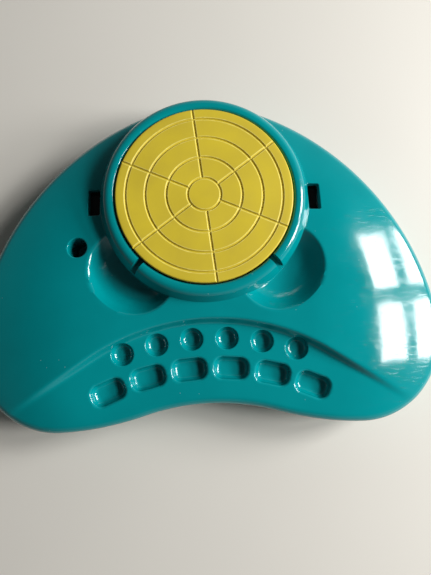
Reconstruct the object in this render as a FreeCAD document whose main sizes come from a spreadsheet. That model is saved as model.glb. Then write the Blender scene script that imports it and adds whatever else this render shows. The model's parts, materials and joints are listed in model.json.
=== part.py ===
"""A child's battery-driven pottery wheel: a kidney-shaped base, a yellow wheel head and the drive inside.

Millimetres. Every piece is drawn about the wheel's own axis, with the table at zero height, and is then
set back by the same distance, so that the middle of the base's footprint is the origin. The front, where
the child sits, is towards -Y.
"""
import FreeCAD, Part
import math
import os
import re
import sys

import Sketcher

sys.path.append(os.path.join(FreeCAD.getHomePath(), "Mod", "PartDesign"))
from fcgear import fcgear, involute

SIZES = {
    # Wheel head
    "wheel_radius": 75.0,
    "wheel_thick": 5.0,
    "wheel_proud": 1.5,
    "wheel_round": 1.2,
    "wheel_rim_drop": 4.5,
    "wheel_rim_thick": 2.5,
    "groove_width": 2.2,
    "groove_floor": 0.8,
    "groove_depth": 1.1,
    "hub_ring": 14.0,
    "inner_ring": 32.0,
    "middle_ring": 49.6,
    "outer_ring": 66.2,
    "spoke_count": 6,
    "spoke_turn": 36.2,
    "hub_radius": 9.0,
    "splash_skirt_gap": 2.5,
    "splash_skirt_thick": 2.0,
    "splash_skirt_lift": 3.0,
    # Collar round the wheel head and the basin under it
    "wheel_gap": 1.2,
    "collar_band": 7.8,
    "collar_spread": 6.0,
    "collar_rise": 11.0,
    "collar_round": 2.5,
    "basin_drop": 3.0,
    "notch_angle": 45.0,
    "notch_width": 5.4,
    "notch_lift": 1.5,
    "chimney_rise": 6.5,
    "chimney_thick": 3.0,
    # Outline of the base, as arcs that touch
    "back_margin": 11.0,
    "flank_radius": 262.0,
    "lobe_radius": 77.0,
    "lobe_out": 132.0,
    "lobe_forward": 119.0,
    "front_radius": 284.0,
    "hollow_radius": 197.5,
    "terrace_depth": 72.7,
    # Top of the base
    "foot_height": 3.0,
    "wall": 2.6,
    "deck_height": 60.0,
    "deck_flat": 88.0,
    "deck_crown": 328.0,
    "terrace_drop": 8.5,
    "terrace_flat": 130.0,
    "terrace_crown": 300.0,
    "arch_forward": 106.0,
    "dome_margin": 20.0,
    "rim_round": 10.0,
    "step_margin": 13.3,
    "step_radius": 190.0,
    "step_half_angle": 32.0,
    "step_run": 4.0,
    # Hollows in the top
    "scoop_angle": 45.0,
    "scoop_tuck": 1.5,
    "scoop_radius": 37.0,
    "scoop_depth": 16.0,
    "well_arc": 55.7,
    "well_pitch": 6.85,
    "well_pairs": 3,
    "well_radius": 10.3,
    "well_depth": 9.0,
    "well_round": 6.0,
    "well_lip": 0.8,
    "trough_arc": 30.5,
    "trough_pitch": 8.95,
    "trough_pairs": 3,
    "trough_length": 33.0,
    "trough_width": 22.5,
    "trough_corner": 9.5,
    "trough_depth": 9.0,
    "trough_round": 8.0,
    "cup_wall": 1.8,
    "slot_margin": 1.2,
    "slot_width": 9.0,
    "slot_length": 22.5,
    "slot_depth": 16.0,
    "slot_corner": 1.5,
    "tool_hole_margin": 27.5,
    "tool_hole_angle": 19.4,
    "tool_hole_radius": 8.5,
    "tool_hole_floor": 25.0,
    # Fits
    "seat_gap": 0.15,
    "snug_fit": 0.02,
    "running_fit": 0.06,
    "float_gap": 0.3,
    # Spindle and its bearings
    "spindle_radius": 4.0,
    "spindle_flat": 3.0,
    "spindle_tail": 2.0,
    "clip_radius": 7.0,
    "clip_thick": 1.0,
    "clip_groove": 0.8,
    "clip_mouth": 5.8,
    "bush_wall": 2.0,
    "bush_flange": 2.0,
    "bush_flange_thick": 0.8,
    "bush_drop": 1.5,
    # Gear plate under the basin, and the gears between them
    "gear_space": 13.4,
    "plate_thick": 2.6,
    "plate_side_margin": 11.0,
    "plate_motor_margin": 21.0,
    "plate_front_tuck": 5.0,
    "plate_back_margin": 9.7,
    "plate_corner": 12.0,
    "plate_boss_inset": 8.0,
    "plate_boss_radius": 4.0,
    "pressure_angle": 25.0,
    "mesh_gap": 0.15,
    "final_module": 1.0,
    "wheel_gear_teeth": 60,
    "idler_small_teeth": 12,
    "first_module": 0.8,
    "idler_large_teeth": 48,
    "pinion_teeth": 12,
    "wheel_gear_width": 5.0,
    "wheel_gear_hub": 7.0,
    "idler_large_width": 4.5,
    "idler_small_width": 6.4,
    "gear_step": 0.6,
    "idler_turn": 90.0,
    "idler_shaft_radius": 2.0,
    "idler_shaft_entry": 2.0,
    "idler_boss_radius": 5.0,
    "idler_boss_drop": 1.2,
    # Motor
    "motor_turn": 30.0,
    "motor_radius": 12.1,
    "motor_clearance": 5.2,
    "motor_cap_length": 3.0,
    "motor_boss_radius": 3.1,
    "motor_boss_rise": 1.6,
    "motor_shaft_radius": 1.15,
    "motor_screw_spread": 8.0,
    "terminal_length": 5.0,
    "terminal_width": 3.0,
    "terminal_thick": 0.6,
    "terminal_root": 1.0,
    # Base cover and feet
    "base_gap": 0.3,
    "base_thick": 3.2,
    "foot_radius": 8.0,
    "foot_seat": 1.2,
    "foot_round": 1.0,
    "lobe_foot_out": 18.0,
    "lobe_foot_forward": 29.0,
    "back_foot_angle": 57.4,
    "back_foot_inset": 15.6,
    # Screws and their bosses
    "boss_radius": 4.2,
    "back_boss_angle": 40.0,
    "back_boss_inset": 4.5,
    "lobe_boss_inset": 15.0,
    "lobe_boss_behind": 80.0,
    "lobe_boss_beside": 5.0,
    "lobe_boss_ahead": -100.0,
    "large_screw_radius": 1.5,
    "large_head_radius": 2.8,
    "large_head_height": 1.6,
    "screw_seat": 1.8,
    "large_screw_length": 10.0,
    "pilot_spare": 2.0,
    "small_screw_radius": 1.2,
    "small_head_radius": 2.2,
    "small_head_height": 1.4,
    "small_screw_length": 7.0,
    # Battery bay
    "tray_margin": 10.2,
    "tray_wall": 2.0,
    "cell_radius": 13.1,
    "cell_length": 50.0,
    "cell_nub": 1.5,
    "cell_nub_radius": 3.6,
    "cell_round": 1.0,
    "cell_gap": 0.4,
    "contact_space": 3.5,
    "contact_thick": 0.5,
    "contact_width": 12.0,
    "contact_height": 15.0,
    "tab_reach": 4.0,
    "tab_width": 4.0,
    "tray_ear_reach": 10.0,
    "tray_ear_width": 9.0,
    "tray_ear_thick": 2.5,
    "tray_ear_spread": 20.0,
    "tray_ear_lift": 8.0,
    "tray_boss_radius": 3.5,
    "door_thick": 2.6,
    "door_gap": 0.4,
    "hinge_radius": 2.4,
    "hinge_pin_radius": 1.5,
    "hinge_pin_length": 3.0,
    "hinge_ear_length": 7.0,
    "hinge_ear_half": 2.6,
    "hinge_ear_height": 5.4,
    "thumb_radius": 9.0,
    "thumb_depth": 1.0,
    # Power switch on the back of the right flank
    "switch_angle": 49.6,
    "switch_height": 20.0,
    "bezel_length": 21.0,
    "bezel_height": 15.0,
    "bezel_thick": 1.4,
    "bezel_sink": 0.8,
    "switch_length": 18.0,
    "switch_tall": 12.0,
    "switch_depth": 16.0,
    "rocker_length": 13.2,
    "rocker_tall": 9.0,
    "rocker_pivot": 4.5,
    "rocker_rise": 1.2,
    "rocker_dip": 1.0,
    "rocker_tail": 2.5,
    "rocker_tail_half": 2.2,
    "rocker_tilt": 9.0,
    "rocker_gap": 0.3,
    "rocker_pin_radius": 1.2,
    "rocker_pin_length": 0.9,
    "switch_cavity_depth": 9.5,
    "rocker_room": 1.1,
    # Leads
    "lead_radius": 0.9,
    "lead_exit": 11.0,
}


def build_sheet(doc):
    """Write every size into the sheet, one row each, and return the sheet."""
    sheet = doc.addObject("Spreadsheet::Sheet", "Sizes")
    for row, (alias, number) in enumerate(SIZES.items(), 1):
        sheet.set(f"A{row}", alias)
        sheet.set(f"B{row}", str(number))
        sheet.setAlias(f"B{row}", alias)
    doc.recompute()
    return sheet


doc = FreeCAD.newDocument("pottery_wheel")
sheet = build_sheet(doc)


def tied(formula):
    """Return a size formula with each size's name pointing at its cell."""
    return re.sub(r"[a-z]\w*", lambda word: f"Sizes.{word[0]}" if word[0] in SIZES else word[0], formula)


def value(formula):
    """Return the number that a size formula gives."""
    return float(sheet.evalExpression(tied(formula)))


def bind(item, **formulas):
    """Tie properties to the sheet; a double underscore in a name stands for a dot."""
    for name, formula in formulas.items():
        item.setExpression(name.replace("__", "."), tied(formula))


def plane_of(body, role):
    """Return one of a body's own origin planes or axes."""
    return next(item for item in body.Origin.OriginFeatures if item.Role == role)


def arc_between(start, end, radius, turn):
    """Return the arc from start to end and the order of its ends; turn is 1 for left, -1 for right."""
    chord = end - start
    middle = (start + end) * 0.5
    rise = math.sqrt(max(radius ** 2 - (chord.Length / 2) ** 2, 0.0))
    across = FreeCAD.Vector(-chord.y, chord.x, 0).normalize()
    centre = middle + across * (rise * turn)
    first, last = (start, end) if turn > 0 else (end, start)
    angles = [math.atan2(point.y - centre.y, point.x - centre.x) for point in (first, last)]
    if angles[1] < angles[0]:
        angles[1] += 2 * math.pi
    circle = Part.Circle(centre, FreeCAD.Vector(0, 0, 1), radius)
    places = (1, 2) if turn > 0 else (2, 1)
    return Part.ArcOfCircle(circle, *angles), places


def draw(sketch, corners):
    """Draw a closed outline and tie each corner and radius.

    A corner is (x, y) where a straight side follows it, or (x, y, radius, turn) where an arc does.
    """
    points = [FreeCAD.Vector(value(corner[0]), value(corner[1]), 0) for corner in corners]
    places = []
    for index, corner in enumerate(corners):
        start, end = points[index], points[(index + 1) % len(points)]
        if len(corner) == 2:
            side, ends = Part.LineSegment(start, end), (1, 2)
        else:
            side, ends = arc_between(start, end, value(corner[2]), corner[3])
        sketch.addGeometry(side, False)
        places.append(ends)
    for index, corner in enumerate(corners):
        before = index - 1 if index else len(corners) - 1
        here = places[index][0]
        sketch.addConstraint(Sketcher.Constraint("Coincident", before, places[before][1], index, here))
        for kind, formula in zip(("DistanceX", "DistanceY"), corner):
            number = sketch.addConstraint(Sketcher.Constraint(kind, -1, 1, index, here, value(formula)))
            sketch.setExpression(f"Constraints[{number}]", tied(formula))
        if len(corner) > 2:
            number = sketch.addConstraint(Sketcher.Constraint("Radius", index, value(corner[2])))
            sketch.setExpression(f"Constraints[{number}]", tied(corner[2]))
    return sketch


def new_sketch(body, name, role):
    """Add a sketch to one of the body's origin planes."""
    sketch = body.newObject("Sketcher::SketchObject", name)
    sketch.AttachmentSupport = (plane_of(body, role), [""])
    sketch.MapMode = "FlatFace"
    return sketch


def place(item, x="0", y="0", z=None):
    """Tie an item's place to the sheet; its height stays where none is given."""
    bind(item, Placement__Base__x=x, Placement__Base__y=y)
    if z is not None:
        bind(item, Placement__Base__z=z)
    return item


def turned(name, corners):
    """Return a body turned about its own Z axis from a half section of (radius, height) corners."""
    body = doc.addObject("PartDesign::Body", name)
    sketch = draw(new_sketch(body, f"{name}_section", "XZ_Plane"), corners)
    turn = body.newObject("PartDesign::Revolution", f"{name}_turn")
    turn.Profile = sketch
    turn.ReferenceAxis = (sketch, ["V_Axis"])
    turn.Angle = 360
    return body


def prism(name, corners, bottom, height):
    """Return a body padded upwards from a plan outline."""
    body = doc.addObject("PartDesign::Body", name)
    sketch = draw(new_sketch(body, f"{name}_plan", "XY_Plane"), corners)
    return pad(body, sketch, bottom, height)


def pad(body, sketch, bottom, height):
    """Lift a plan sketch to a height and pad it."""
    bind(sketch, AttachmentOffset__Base__z=bottom)
    lift = body.newObject("PartDesign::Pad", f"{body.Name}_pad")
    lift.Profile = sketch
    bind(lift, Length=height)
    return body


def rectangle(length, width, corner=None):
    """Return the corners of a rectangle about the origin, with round corners if a radius is given."""
    side, end = f"({length}) / 2", f"({width}) / 2"
    if corner is None:
        return [(f"-{side}", f"-{end}"), (side, f"-{end}"), (side, end), (f"-{side}", end)]
    return [
        (f"{corner} - {side}", f"-{end}"),
        (f"{side} - {corner}", f"-{end}", corner, 1),
        (side, f"{corner} - {end}"),
        (side, f"{end} - {corner}", corner, 1),
        (f"{side} - {corner}", end),
        (f"{corner} - {side}", end, corner, 1),
        (f"-{side}", f"{end} - {corner}"),
        (f"-{side}", f"{corner} - {end}", corner, 1),
    ]


def rod(name, radius, bottom, height, x="0", y="0"):
    """Return an upright cylinder."""
    item = doc.addObject("Part::Cylinder", name)
    bind(item, Radius=radius, Height=height)
    return place(item, x, y, bottom)


def block(name, low, high):
    """Return a box between two corners, each of three formulas."""
    item = doc.addObject("Part::Box", name)
    sides = [f"({top}) - ({bottom})" for bottom, top in zip(low, high)]
    bind(item, Length=sides[0], Width=sides[1], Height=sides[2])
    return place(item, *low)


def fuse(name, *items):
    """Join items into one."""
    item = doc.addObject("Part::MultiFuse", name)
    item.Shapes = list(items)
    return item


def cut(name, base, *tools):
    """Take tools away from an item."""
    item = doc.addObject("Part::Cut", name)
    item.Base = base
    item.Tool = tools[0] if len(tools) == 1 else fuse(f"{name}_tools", *tools)
    return item


def common(name, *items):
    """Keep what items share."""
    item = doc.addObject("Part::MultiCommon", name)
    item.Shapes = list(items)
    return item


def upright(angle):
    """Return a turn about the upright axis, in degrees."""
    return FreeCAD.Rotation(FreeCAD.Vector(0, 0, 1), angle)


def turned_block(name, low, high, frame):
    """Return a box between two corners that are measured in a frame of its own."""
    item = block(name, low, high)
    for axis in "xyz":
        item.setExpression(f"Placement.Base.{axis}", None)
    corner = frame.multVec(FreeCAD.Vector(*(value(formula) for formula in low)))
    item.Placement = FreeCAD.Placement(corner, frame.Rotation)
    return item


# Places that several pieces share, as formulas
COLLAR_INNER = "(wheel_radius + wheel_gap)"
COLLAR_OUTER = "(wheel_radius + wheel_gap + collar_band)"
COLLAR_FOOT = "(wheel_radius + wheel_gap + collar_band + collar_spread)"
COLLAR_TOP = "(deck_height + collar_rise)"
BASIN_FLOOR = "(deck_height - basin_drop)"
BASIN_UNDER = "(deck_height - basin_drop - wall)"
BACK_RADIUS = f"({COLLAR_FOOT} + back_margin)"
STEP_FORWARD = f"({COLLAR_FOOT} + step_margin)"
HOLLOW_FORWARD = f"({STEP_FORWARD} + terrace_depth + hollow_radius)"
TERRACE = "(deck_height - terrace_drop)"
DOME_REACH = "(sqrt(lobe_out ^ 2 + (lobe_forward - arch_forward) ^ 2) + lobe_radius + dome_margin)"
WHEEL_TOP = f"({COLLAR_TOP} + wheel_proud)"
WHEEL_BACK = f"((lobe_forward + lobe_radius - {BACK_RADIUS}) / 2)"


def meeting(first, reach_first, second, reach_second):
    """Return the point at given distances from two points, to the right of the way from one to the other."""
    along = second - first
    span = along.Length
    forward = (span ** 2 + reach_first ** 2 - reach_second ** 2) / (2 * span)
    aside = math.sqrt(reach_first ** 2 - forward ** 2)
    along.normalize()
    return first + along * forward + FreeCAD.Vector(along.y, -along.x, 0) * aside


def outline_centres():
    """Return the centres of the right half's arcs: back, flank, lobe, front and hollow."""
    back = FreeCAD.Vector(0, 0, 0)
    lobe = FreeCAD.Vector(value("lobe_out"), -value("lobe_forward"), 0)
    hollow = FreeCAD.Vector(0, -value(HOLLOW_FORWARD), 0)
    flank = meeting(back, value(f"flank_radius - {BACK_RADIUS}"), lobe, value("flank_radius - lobe_radius"))
    front = meeting(lobe, value("front_radius - lobe_radius"), hollow, value("front_radius + hollow_radius"))
    return back, flank, lobe, front, hollow


def outline_sketch(body, name, inset):
    """Draw the kidney outline, moved inwards, as eight arcs that touch.

    The radii and the centres of the back, lobes and hollow are tied; the touching arcs follow.
    """
    sketch = new_sketch(body, name, "XY_Plane")
    back, flank, lobe, front, hollow = outline_centres()
    mirrored = [FreeCAD.Vector(-centre.x, centre.y, 0) for centre in (flank, lobe, front)]
    rings = [
        (back, f"{BACK_RADIUS} - {inset}"),
        (mirrored[0], f"flank_radius - {inset}"),
        (mirrored[1], f"lobe_radius - {inset}"),
        (mirrored[2], f"front_radius - {inset}"),
        (hollow, f"hollow_radius + {inset}"),
        (front, f"front_radius - {inset}"),
        (lobe, f"lobe_radius - {inset}"),
        (flank, f"flank_radius - {inset}"),
    ]
    hollow_index, count = 4, len(rings)
    joints = []
    for index in range(count):
        pair = (index, (index + 1) % count)
        if hollow_index in pair:
            outer, inner = sorted(pair, key=lambda ring: ring == hollow_index)
        else:
            outer, inner = sorted(pair, key=lambda ring: -value(rings[ring][1]))
        reach = (rings[inner][0] - rings[outer][0]).normalize()
        joints.append(rings[outer][0] + reach * value(rings[outer][1]))
    for index, (centre, radius) in enumerate(rings):
        first, last = joints[index - 1], joints[index]
        if index == hollow_index:
            first, last = last, first
        angles = [math.atan2(point.y - centre.y, point.x - centre.x) for point in (first, last)]
        if angles[1] < angles[0]:
            angles[1] += 2 * math.pi
        circle = Part.Circle(centre, FreeCAD.Vector(0, 0, 1), value(radius))
        sketch.addGeometry(Part.ArcOfCircle(circle, *angles), False)
    ends = [(2, 1) if index == hollow_index else (1, 2) for index in range(count)]
    for index in range(count):
        after = (index + 1) % count
        sketch.addConstraint(Sketcher.Constraint("Tangent", index, ends[index][1], after, ends[after][0]))
    for index, (centre, radius) in enumerate(rings):
        number = sketch.addConstraint(Sketcher.Constraint("Radius", index, value(radius)))
        sketch.setExpression(f"Constraints[{number}]", tied(radius))
    fixed = {
        0: ("0", "0"),
        2: ("-lobe_out", "-lobe_forward"),
        hollow_index: ("0", f"-{HOLLOW_FORWARD}"),
        6: ("lobe_out", "-lobe_forward"),
    }
    for index, formulas in fixed.items():
        for kind, formula in zip(("DistanceX", "DistanceY"), formulas):
            number = sketch.addConstraint(Sketcher.Constraint(kind, -1, 1, index, 3, value(formula)))
            sketch.setExpression(f"Constraints[{number}]", tied(formula))
    return sketch


def crowned(name, flat, crown, top, inset):
    """Return a flat-topped dome about the arch's axis: level to one radius, then an arc to its reach."""
    edge = f"{top} - {inset} - {crown} + sqrt({crown} ^ 2 - ({DOME_REACH} - {flat}) ^ 2)"
    dome = turned(name, [
        ("0", "0"),
        (DOME_REACH, "0"),
        (DOME_REACH, edge, crown, 1),
        (flat, f"{top} - {inset}"),
        ("0", f"{top} - {inset}"),
    ])
    return place(dome, y="-arch_forward")


def deck_block(name, inset):
    """Return the block behind the step, whose face leans back from the terrace up to the deck."""
    body = doc.addObject("PartDesign::Body", name)
    levels = (("-2", f"{TERRACE} - terrace_drop"), ("1", "deck_height + terrace_drop"))
    sketches = []
    for index, (runs, height) in enumerate(levels):
        radius = f"(step_radius + {inset} + {runs} * step_run)"
        end = f"({radius} * cos(step_half_angle) - {STEP_FORWARD} - step_radius)"
        side = f"({radius} * sin(step_half_angle))"
        far = f"{end} - ({DOME_REACH} - {side}) * tan(step_half_angle)"
        sketch = draw(new_sketch(body, f"{name}_level_{index}", "XY_Plane"), [
            (f"-{side}", end, radius, -1),
            (side, end),
            (DOME_REACH, far),
            (DOME_REACH, DOME_REACH),
            (f"-{DOME_REACH}", DOME_REACH),
            (f"-{DOME_REACH}", far),
        ])
        bind(sketch, AttachmentOffset__Base__z=height)
        sketches.append(sketch)
    loft = body.newObject("PartDesign::AdditiveLoft", f"{name}_loft")
    loft.Profile = sketches[0]
    loft.Sections = sketches[1:]
    loft.Ruled = True
    return body


def rounded(name, item, chosen, radius):
    """Round the edges of an item that a test picks."""
    doc.recompute()
    fillet = doc.addObject("Part::Fillet", name)
    fillet.Base = item
    edges = enumerate(item.Shape.Edges, 1)
    fillet.Edges = [(index, value(radius), value(radius)) for index, edge in edges if chosen(edge)]
    return fillet


def rim_test(item):
    """Return a test for the upper edges of an item's upright outer walls."""
    doc.recompute()
    rims = []
    for face in item.Shape.Faces:
        if isinstance(face.Surface, Part.Cylinder):
            rims.extend(edge for edge in face.Edges if not isinstance(edge.Curve, Part.Line))
    middle = value(TERRACE) / 2
    upper = [edge for edge in rims if edge.BoundBox.ZMin > middle]
    return lambda edge: any(edge.isSame(other) for other in upper)


def base_form(name, inset, bottom):
    """Return the base's rounded outer form, or its hollow when moved inwards by the wall."""
    body = doc.addObject("PartDesign::Body", f"{name}_plan")
    plan = pad(body, outline_sketch(body, f"{name}_outline", inset), bottom, f"{COLLAR_TOP} - ({bottom})")
    terrace = crowned(f"{name}_terrace", "terrace_flat", "terrace_crown", TERRACE, inset)
    dome = crowned(f"{name}_deck", "deck_flat", "deck_crown", "deck_height", inset)
    deck = common(f"{name}_step", dome, deck_block(f"{name}_behind", inset))
    sharp = common(f"{name}_sharp", plan, fuse(f"{name}_top", terrace, deck))
    return rounded(f"{name}_form", sharp, rim_test(sharp), f"rim_round - {inset}")


# Levels and places of the inner pieces
BASE_TOP = "(foot_height + base_thick)"
BUSH_RADIUS = "(spindle_radius + bush_wall)"
CHIMNEY_RADIUS = f"({BUSH_RADIUS} + chimney_thick)"
CHIMNEY_TOP = f"({BASIN_FLOOR} + chimney_rise)"
HUB_BOTTOM = f"({CHIMNEY_TOP} + bush_flange_thick + float_gap)"
WHEEL_UNDER = f"({WHEEL_TOP} - wheel_thick)"
BORE_TOP = f"({WHEEL_TOP} - wheel_thick / 2)"
PLATE_TOP = f"({BASIN_UNDER} - gear_space)"
PLATE_UNDER = f"({PLATE_TOP} - plate_thick)"
BUSH_BOTTOM = f"({PLATE_UNDER} - bush_drop)"
CLIP_TOP = f"({BUSH_BOTTOM} - float_gap)"
CLIP_BOTTOM = f"({CLIP_TOP} - clip_thick)"
SKIRT_BOTTOM = "(deck_height - scoop_depth - wall)"
IDLER_BOTTOM = f"({PLATE_TOP} + float_gap)"
IDLER_STEP = f"({IDLER_BOTTOM} + idler_large_width)"
WHEEL_GEAR_BOTTOM = f"({IDLER_STEP} + gear_step)"
IDLER_REACH = "(final_module * (wheel_gear_teeth + idler_small_teeth) / 2 + mesh_gap)"
MOTOR_REACH = "(first_module * (idler_large_teeth + pinion_teeth) / 2 + mesh_gap)"
IDLER_X = f"({IDLER_REACH} * cos(idler_turn))"
IDLER_Y = f"({IDLER_REACH} * sin(idler_turn))"
MOTOR_X = f"({IDLER_X} + {MOTOR_REACH} * cos(motor_turn))"
MOTOR_Y = f"({IDLER_Y} + {MOTOR_REACH} * sin(motor_turn))"
WHEEL_GEAR_RADIUS = "(final_module * (wheel_gear_teeth / 2 + 1))"
PLATE_LEFT = f"({WHEEL_GEAR_RADIUS} + plate_side_margin)"
PLATE_RIGHT = f"({MOTOR_X} + motor_radius + plate_motor_margin)"
PLATE_FRONT = f"({WHEEL_GEAR_RADIUS} - plate_front_tuck)"
PLATE_BACK = f"({MOTOR_Y} + motor_radius + plate_back_margin)"
CAP_BOTTOM = f"({BASE_TOP} + motor_clearance)"
MOTOR_BOTTOM = f"({CAP_BOTTOM} + motor_cap_length)"
BAY_HALF = "(cell_length + contact_space)"
BAY_WIDE = "(2 * cell_radius + 1.5 * cell_gap)"
TRAY_FORWARD = f"({STEP_FORWARD} + terrace_depth - tray_margin - tray_wall - {BAY_WIDE})"
CELL_OFFSET = "(cell_radius + cell_gap / 2)"
CELL_HEIGHT = "(foot_height + door_thick + cell_gap + cell_radius)"
TRAY_ROOF = f"({CELL_HEIGHT} + cell_radius + cell_gap)"
TRAY_TOP = f"({TRAY_ROOF} + tray_wall)"
EAR_TOP = f"({BASE_TOP} + tray_ear_lift + tray_ear_thick)"
HINGE_Y = f"({BAY_WIDE} - {TRAY_FORWARD} - door_gap - hinge_radius)"
HINGE_Z = "(foot_height + hinge_radius)"
HINGE_EAR = f"({BAY_HALF} - hinge_ear_length)"
TOOL_HOLE_X = f"(-({COLLAR_FOOT} + tool_hole_margin) * cos(tool_hole_angle))"
TOOL_HOLE_Y = f"(-({COLLAR_FOOT} + tool_hole_margin) * sin(tool_hole_angle))"

LEVEL_TOLERANCE = 1e-3
BEND_SHARE = 0.45

pieces = {}


def piece(node, item, x="0", y="0", turn=0.0):
    """Name a finished piece and set it back with the wheel's axis."""
    item.Label = node
    item.Placement = FreeCAD.Placement(FreeCAD.Vector(), upright(turn))
    bind(item, Placement__Base__x=x, Placement__Base__y=f"{y} + {WHEEL_BACK}")
    pieces[node] = item
    return item


def gather(node, items):
    """Name a group of like solids as one piece."""
    group = doc.addObject("Part::Compound", f"{node}_group")
    group.Links = items
    return piece(node, group)


def boss_places():
    """Return the places of the housing screws: one by the back and three round each lobe."""
    places = []
    for side in ("", "-"):
        reach = f"({BACK_RADIUS} - back_boss_inset)"
        places.append((f"{side}{reach} * sin(back_boss_angle)", f"{reach} * cos(back_boss_angle)"))
        reach = "(lobe_radius - lobe_boss_inset)"
        for angle in ("lobe_boss_behind", "lobe_boss_beside", "lobe_boss_ahead"):
            out = f"{side}(lobe_out + {reach} * cos({angle}))"
            places.append((out, f"{reach} * sin({angle}) - lobe_forward"))
    return places


def plate_boss_places():
    """Return the four corners where the gear plate is screwed up."""
    sides = (f"plate_boss_inset - {PLATE_LEFT}", f"{PLATE_RIGHT} - plate_boss_inset")
    ends = (f"plate_boss_inset - {PLATE_FRONT}", f"{PLATE_BACK} - plate_boss_inset")
    return [(x, y) for x in sides for y in ends]


def foot_places():
    """Return the places of the four feet."""
    places = []
    reach = f"({BACK_RADIUS} - back_foot_inset)"
    for side in ("", "-"):
        places.append((f"{side}(lobe_out + lobe_foot_out)", "-lobe_forward - lobe_foot_forward"))
        places.append((f"{side}{reach} * sin(back_foot_angle)", f"{reach} * cos(back_foot_angle)"))
    return places


def tray_ear_places():
    """Return the places of the tray's four screws."""
    out = f"({BAY_HALF} + tray_wall + tray_ear_reach / 2)"
    ends = [f"{end}tray_ear_spread - {TRAY_FORWARD}" for end in ("", "-")]
    return [(f"{side}{out}", end) for side in ("", "-") for end in ends]


def fanned(name, maker, reach, pitch, pairs):
    """Make like items along an arc about the front hollow's centre, in mirror pairs."""
    items = []
    for index in range(int(value(pairs))):
        for side in (1, -1):
            item = maker(f"{name}_{index}_{'right' if side > 0 else 'left'}")
            angle = f"{side * (index + 0.5)} * {pitch}"
            place(item, f"(hollow_radius + {reach}) * sin({angle})",
                  f"(hollow_radius + {reach}) * cos({angle}) - {HOLLOW_FORWARD}")
            item.Placement.Rotation = upright(-value(angle))
            items.append(item)
    return items


def well(name):
    """Return what is cut for a round paint well, with a round lip and a dished floor."""
    floor = f"({TERRACE} - well_depth)"
    return turned(name, [
        ("0", floor),
        ("well_radius - well_round", floor, "well_round", 1),
        ("well_radius", f"{floor} + well_round"),
        ("well_radius", f"{TERRACE} - well_lip", "well_lip", -1),
        ("well_radius + well_lip", TERRACE),
        ("well_radius + well_lip", COLLAR_TOP),
        ("0", COLLAR_TOP),
    ])


def trough(name):
    """Return what is cut for an oblong well, with a boat-shaped floor."""
    floor = f"({TERRACE} - trough_depth)"
    corners = rectangle("trough_length", "trough_width", "trough_corner")
    return round_level(prism(name, corners, floor, f"{COLLAR_TOP} - {floor}"), value(floor), "trough_round")


def round_level(body, level, radius, test=lambda edge: True):
    """Round those of a body's edges that lie wholly at one level and pass a test."""
    doc.recompute()
    base = body.Tip
    names = []
    for index, edge in enumerate(body.Shape.Edges, 1):
        box = edge.BoundBox
        if max(abs(box.ZMin - level), abs(box.ZMax - level)) < LEVEL_TOLERANCE and test(edge):
            names.append(f"Edge{index}")
    fillet = body.newObject("PartDesign::Fillet", f"{body.Name}_round")
    fillet.Base = (base, names)
    bind(fillet, Radius=radius)
    return body


def well_cup(name):
    """Return the solid that stands round a round well."""
    bottom = f"{TERRACE} - well_depth - cup_wall"
    return rod(name, "well_radius + cup_wall", bottom, "well_depth + cup_wall")


def trough_cup(name):
    """Return the solid that stands round an oblong well."""
    length, width = "trough_length + 2 * cup_wall", "trough_width + 2 * cup_wall"
    corners = rectangle(length, width, "(trough_corner + cup_wall)")
    return prism(name, corners, f"{TERRACE} - trough_depth - cup_wall", "trough_depth + cup_wall")


def scoop(name, swell, top):
    """Return a scoop's spherical bowl up to a level, grown by a wall thickness."""
    sphere = "((scoop_radius ^ 2 + scoop_depth ^ 2) / (2 * scoop_depth))"
    centre = f"(deck_height - scoop_depth + {sphere})"
    mouth = f"sqrt(({sphere} + {swell}) ^ 2 - ({centre} - deck_height) ^ 2)"
    bowl = [("0", f"{centre} - {sphere} - {swell}", f"{sphere} + {swell}", 1), (mouth, "deck_height")]
    above = [] if top == "deck_height" else [(mouth, top)]
    return turned(name, bowl + above + [("0", top)])


def scoop_pair(name, swell, top):
    """Return the two scoops, a mirror pair in front of the wheel."""
    items = []
    for side in (1, -1):
        item = scoop(f"{name}_{'right' if side > 0 else 'left'}", swell, top)
        reach = f"({COLLAR_FOOT} - scoop_tuck)"
        items.append(place(item, f"{side} * {reach} * sin(scoop_angle)", f"-{reach} * cos(scoop_angle)"))
    return items


def slot_pair(name, grow, depth):
    """Return the two accessory slots beside the collar, or their sockets."""
    items = []
    for side in (1, -1):
        width, length = f"slot_width + 2 * {grow}", f"slot_length + 2 * {grow}"
        corners = rectangle(width, length, f"(slot_corner + {grow})")
        body = prism(f"{name}_{'right' if side > 0 else 'left'}", corners, f"deck_height - {depth}",
                     f"{depth} + collar_rise")
        items.append(place(body, f"{side} * ({COLLAR_FOOT} + slot_margin + slot_width / 2)"))
    return items


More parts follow.
